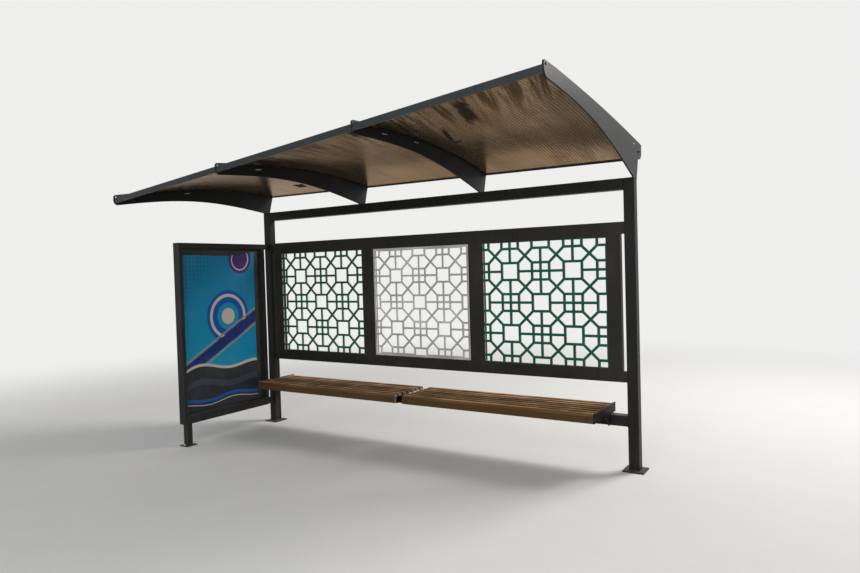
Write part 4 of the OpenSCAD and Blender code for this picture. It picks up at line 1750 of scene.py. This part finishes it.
@dataclass
class PosterBox:
    """Frame bars, board, leg, links, seals and the two printed sheets."""

    shop: Workshop
    paint: bpy.types.Material
    board: bpy.types.Material
    bar_edge: float = 2 * MM
    foot_edge: float = 1 * MM
    columns: int = 60
    rows: int = 90
    paper: float = 0.5 * MM
    board_gap: float = 1.0 * MM
    slack: float = 1.3 * MM
    corner: float = 22 * MM
    curl_start: float = 0.9
    curl_depth: float = 4 * MM
    corner_curl: float = 9 * MM
    top_rise: float = 8 * MM
    torn_rise: float = 36 * MM
    torn_from: float = 0.6
    seal: float = 7 * MM
    seal_gap: float = 3.6 * MM
    seal_ease: float = 1.4 * MM
    low_link: float = 60 * MM
    high_link: float = 50 * MM
    bead: float = 3.6 * MM
    foot_bolt: HexBolt = HexBolt(16 * MM, 8 * MM, 24 * MM)
    bolt_inset: float = 15 * MM

    def dress(self) -> None:
        """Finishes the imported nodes."""
        bars = [f"poster_box_{name}" for name in ("front_bar", "rear_bar", "top_bar", "bottom_bar")]
        self.shop.dress([*bars, "poster_box_leg", "poster_box_links"], self.paint, self.bar_edge)
        self.shop.dress(["poster_box_foot"], self.paint, self.foot_edge)
        self.shop.dress(["poster_board"], self.board)

    def build(self) -> None:
        """Makes the posters, seals, beads and foot bolts."""
        low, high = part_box("posters")
        finish = PosterPrint("poster_print", low.y, high.y, low.z, high.z).material()
        for side, way in ((Side.RIGHT, 1), (Side.LEFT, -1)):
            self._hang_sheet(side, way, finish)
        self._fit_seals()
        self._lay_beads()
        low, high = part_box("poster_box_foot")
        bolts = [((0.0, y, high.z), (0, 0, 1)) for y in (low.y + self.bolt_inset, high.y - self.bolt_inset)]
        fit_heads("foot_bolts", self.foot_bolt, bolts, self.shop.zinc, "lattice_silver")

    def _top_edge(self, u: float, width: float) -> float:
        """How far the sheet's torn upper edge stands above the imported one.

        Args:
            u: Place across the sheet, from 0 at the front to 1 at the rear.
            width: Width of the sheet.

        Returns:
            The height.
        """
        waves = 2.5 * MM * math.sin(7 * u + 1) + 1.2 * MM * math.sin(23 * u)
        torn = self.torn_rise * max(0.0, (u - self.torn_from) / (1 - self.torn_from)) ** 1.4
        inside = min(1.0, u * width / self.corner)
        rounding = self.corner * (1 - math.sqrt(1 - (1 - inside) ** 2))
        return self.top_rise + waves + torn - rounding

    def _hang_sheet(self, side: Side, way: int, finish: bpy.types.Material) -> None:
        """Makes one printed sheet that has come loose along its top.

        Args:
            side: The face of the box that it lies on.
            way: 1 if that face looks along X, or -1.
            finish: The print.
        """
        low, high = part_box("posters")
        hand = random.Random(31 if way > 0 else 37)
        waves = [(hand.uniform(4, 15), hand.uniform(0, 6)) for _ in range(5)]
        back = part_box("poster_board")[1].x + self.board_gap
        width, tall = high.y - low.y, high.z - low.z
        rings = []
        for i in range(self.rows + 1):
            t = i / self.rows
            loose = max(0.0, (t - self.curl_start) / (1 - self.curl_start)) ** 2
            stretch = max(0.0, (t - self.curl_start + 0.05) / (1.05 - self.curl_start))
            face, rear = [], []
            for j in range(self.columns + 1):
                u = j / self.columns
                wave = sum(math.sin(f * u + p + 2 * f * t) / f for f, p in waves)
                x = back + self.slack * (1 + wave) * math.sqrt(abs(math.sin(math.pi * u)))
                x += loose * (self.curl_depth * (1 + math.sin(9 * u + 2)) + self.corner_curl * u ** 4)
                y = low.y + width * u
                z = low.z + tall * t + self._top_edge(u, width) * stretch
                face.append((way * (x + self.paper), y, z))
                rear.append((way * x, y, z))
            rings.append(face + rear[::-1])
        shape = Shape()
        shape.loft(rings)
        shape.piece("poster_sheet_" + side.value, finish, "poster", ["posters"] if side is Side.RIGHT else [],
                    smooth=SOFT_ANGLE)

    def _fit_seals(self) -> None:
        """Fits the rubber strips in the corners between board and bars, on both faces."""
        low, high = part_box("poster_board")
        shape = Shape()
        s = self.seal
        for way in (-1, 1):
            x0, x1 = sorted((way * (high.x + self.seal_gap), way * (high.x + self.seal_gap + s)))
            for y0, y1, z0, z1 in ((low.y, low.y + s, low.z, high.z), (high.y - s, high.y, low.z, high.z),
                                   (low.y + s, high.y - s, low.z, low.z + s),
                                   (low.y + s, high.y - s, high.z - s, high.z)):
                shape.block((x0, y0, z0), (x1, y1, z1), self.seal_ease)
        shape.piece("board_seals", self.shop.rubber, "board")

    def _lay_beads(self) -> None:
        """Lays the beads round the links and the leg."""
        box_rear, post_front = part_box("poster_box_rear_bar")[1].y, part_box("post_left")[0].y
        low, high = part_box("poster_box_links")
        lines = []
        for z0, z1 in ((low.z, low.z + self.low_link), (high.z - self.high_link, high.z)):
            for y, out in ((box_rear, 1), (post_front, -1)):
                lines += [WeldLine.along_z(x, y, z0, z1, (way, out, 0))
                          for x, way in ((low.x, -1), (high.x, 1))]
        leg_low, leg_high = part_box("poster_box_leg")
        lines += round_a_foot(leg_low, leg_high, leg_low.z, 1)
        lines += round_a_foot(leg_low, leg_high, leg_high.z, -1)
        self.shop.welder.lay("poster_box_beads", lines, self.paint, "box_paint", self.bead)


@dataclass(frozen=True)
class Lamp:
    """A soft square lamp: its place, the side of its face, its power in watts and its colour."""

    name: str
    place: Point
    size: float
    power: float
    colour: Colour

    def hang(self, aim: Point) -> None:
        """Hangs the lamp.

        Args:
            aim: The place that it looks at.
        """
        data = bpy.data.lights.new(self.name, "AREA")
        data.size = self.size
        data.energy = self.power
        data.color = self.colour
        lamp = bpy.data.objects.new(self.name, data)
        lamp.location = self.place
        lamp.rotation_euler = (Vector(aim) - Vector(self.place)).to_track_quat("-Z", "Y").to_euler()
        bpy.context.scene.collection.objects.link(lamp)


@dataclass
class Studio:
    """Camera, lamps, world and floor."""

    camera_place: Point = (5.087, -4.884, 1.551)
    yaw: float = 32.518
    pitch: float = -1.556
    roll: float = -1.644
    lens: float = 27.305
    sensor: float = 36.0
    centre: Point = (1.9, -0.7, 1.0)
    lamps: tuple[Lamp, ...] = (Lamp("key", (6.5, 4.5, 6.5), 3.0, 560.0, (1.0, 0.97, 0.93)),
                               Lamp("fill", (3.5, -8.0, 3.5), 4.0, 190.0, (0.94, 0.97, 1.0)))
    white: Colour = (0.86, 0.86, 0.85)
    ambient: float = 0.6
    floor_half: float = 60.0
    floor_tones: tuple[Colour, Colour] = ((0.72, 0.715, 0.7), (0.68, 0.675, 0.66))
    melt_start: float = 3.2
    melt_end: float = 9.5

    def _camera(self) -> None:
        """Places the camera at the photograph's angle."""
        yaw, pitch, roll = (math.radians(a) for a in (self.yaw, self.pitch, self.roll))
        ahead = Vector((-math.sin(yaw) * math.cos(pitch), math.cos(yaw) * math.cos(pitch), math.sin(pitch)))
        level = Vector((math.cos(yaw), math.sin(yaw), 0.0))
        upright = level.cross(ahead)
        right = level * math.cos(roll) + upright * math.sin(roll)
        up = upright * math.cos(roll) - level * math.sin(roll)
        data = bpy.data.cameras.new("photo_camera")
        data.lens = self.lens
        data.sensor_width = self.sensor
        camera = bpy.data.objects.new("photo_camera", data)
        turn = Matrix((right, up, -ahead)).transposed().to_4x4()
        camera.matrix_world = Matrix.Translation(self.camera_place) @ turn
        bpy.context.scene.collection.objects.link(camera)
        bpy.context.scene.camera = camera

    def _world(self) -> None:
        """A pale backdrop with plain ambient light."""
        g = Graph(bpy.data.worlds.new("studio"))
        dim = g.add("ShaderNodeBackground", None, {"Strength": self.ambient})
        pale = g.add("ShaderNodeBackground", None, {"Color": self.white})
        bpy.context.scene.world = g.finish(g.blend(g.seen(), dim, pale))

    def _floor(self) -> None:
        """A plain pale floor that melts into the backdrop far from the shelter."""
        size = self.floor_half
        mesh = bpy.data.meshes.new("floor")
        mesh.from_pydata([(-size, -size, 0), (size, -size, 0), (size, size, 0), (-size, size, 0)], [],
                         [(0, 1, 2, 3)])
        g = Graph.of("pale_floor")
        away = g.vector("DISTANCE", g.place, (self.centre[0], self.centre[1], 0.0))["Value"]
        tone = g.mix(*self.floor_tones, g.noise(3.0, 4.0))
        near = g.principled({"Base Color": tone, "Roughness": 0.85, "Specular IOR Level": 0.1})
        far = g.add("ShaderNodeEmission", None, {"Color": self.white})
        melted = away.rise(self.melt_start, self.melt_end) * g.seen()
        mesh.materials.append(g.finish(g.blend(melted, near, far)))
        floor = bpy.data.objects.new("floor", mesh)
        bpy.context.scene.collection.objects.link(floor)

    def build(self) -> None:
        """Makes the whole studio."""
        self._camera()
        self._world()
        self._floor()
        for lamp in self.lamps:
            lamp.hang(self.centre)
        bpy.context.scene.view_settings.view_transform = "Standard"


def make_bench(shop: Workshop, paint: bpy.types.Material, bracket_paint: bpy.types.Material) -> None:
    """Builds the bench and the two timbers, whose boards follow its slats.

    Args:
        shop: The workshop.
        paint: Paint of the rail.
        bracket_paint: Paint of the plates and brackets.
    """
    bench = Bench(shop, paint, bracket_paint)
    bench.dress()
    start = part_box("seat_slats_left")[0].y
    unit_middle = (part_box("seat_slats_left")[1].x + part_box("seat_slats_right")[0].x) / 2
    slats = WeatheredTimber("slat_timber", (0.06, 0.03, 0.012), (0.26, 0.138, 0.056), (0.48, 0.26, 0.108),
                            start, bench.slat_pitch, unit_middle)
    boards = WeatheredTimber("front_board_timber", (0.04, 0.021, 0.009), (0.085, 0.047, 0.02),
                             (0.145, 0.082, 0.037), start, 1.0, unit_middle)
    bench.build(slats.material(), boards.material())


def main() -> None:
    """Builds the studio and every sub-assembly, and notes the sizes."""
    logging.basicConfig(level=logging.INFO, format="%(name)s %(message)s")
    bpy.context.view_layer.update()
    Studio().build()
    shop = Workshop()
    frame_paint = SteelPaint("frame_paint", (0.0105, 0.01, 0.0095)).material()
    box_paint = SteelPaint("box_paint", (0.0165, 0.0168, 0.0165)).material()
    arm_paint = SteelPaint("arm_paint", (0.0105, 0.011, 0.0118), roughness=0.42, gloss=0.14,
                           film_share=0.02).material()
    fascia_paint = SteelPaint("fascia_paint", (0.021, 0.0245, 0.0265), roughness=0.42, gloss=0.2).material()
    screen_paint = SteelPaint("screen_paint", (0.0195, 0.018, 0.0145)).material()
    channel_paint = SteelPaint("channel_paint", (0.007, 0.0067, 0.0062), roughness=0.5, gloss=0.08).material()
    # the third colour of each lattice paint is the painted highlight on its cut faces and the colour of its
    # chips
    green = LatticePaint("green_lattice_paint", (0.003, 0.082, 0.058), (0.45, 0.45, 0.33)).material()
    silver = LatticePaint("silver_lattice_paint", (0.4, 0.4, 0.37), (0.78, 0.74, 0.6), edge_highlight_share=0.85,
                          metallic=0.15, gloss=0.3).material()
    board = SmallPartFinish("board_black", (0.013, 0.0125, 0.012), 0.5, stained=(0.05, 0.04, 0.03)).material()

    for assembly in (MainFrame(shop, frame_paint), Roof(shop, arm_paint, fascia_paint, channel_paint),
                     BackScreen(shop, screen_paint, green, silver), PosterBox(shop, box_paint, board)):
        assembly.dress()
        assembly.build()
    make_bench(shop, frame_paint, channel_paint)


if __name__ == "__main__":
    main()
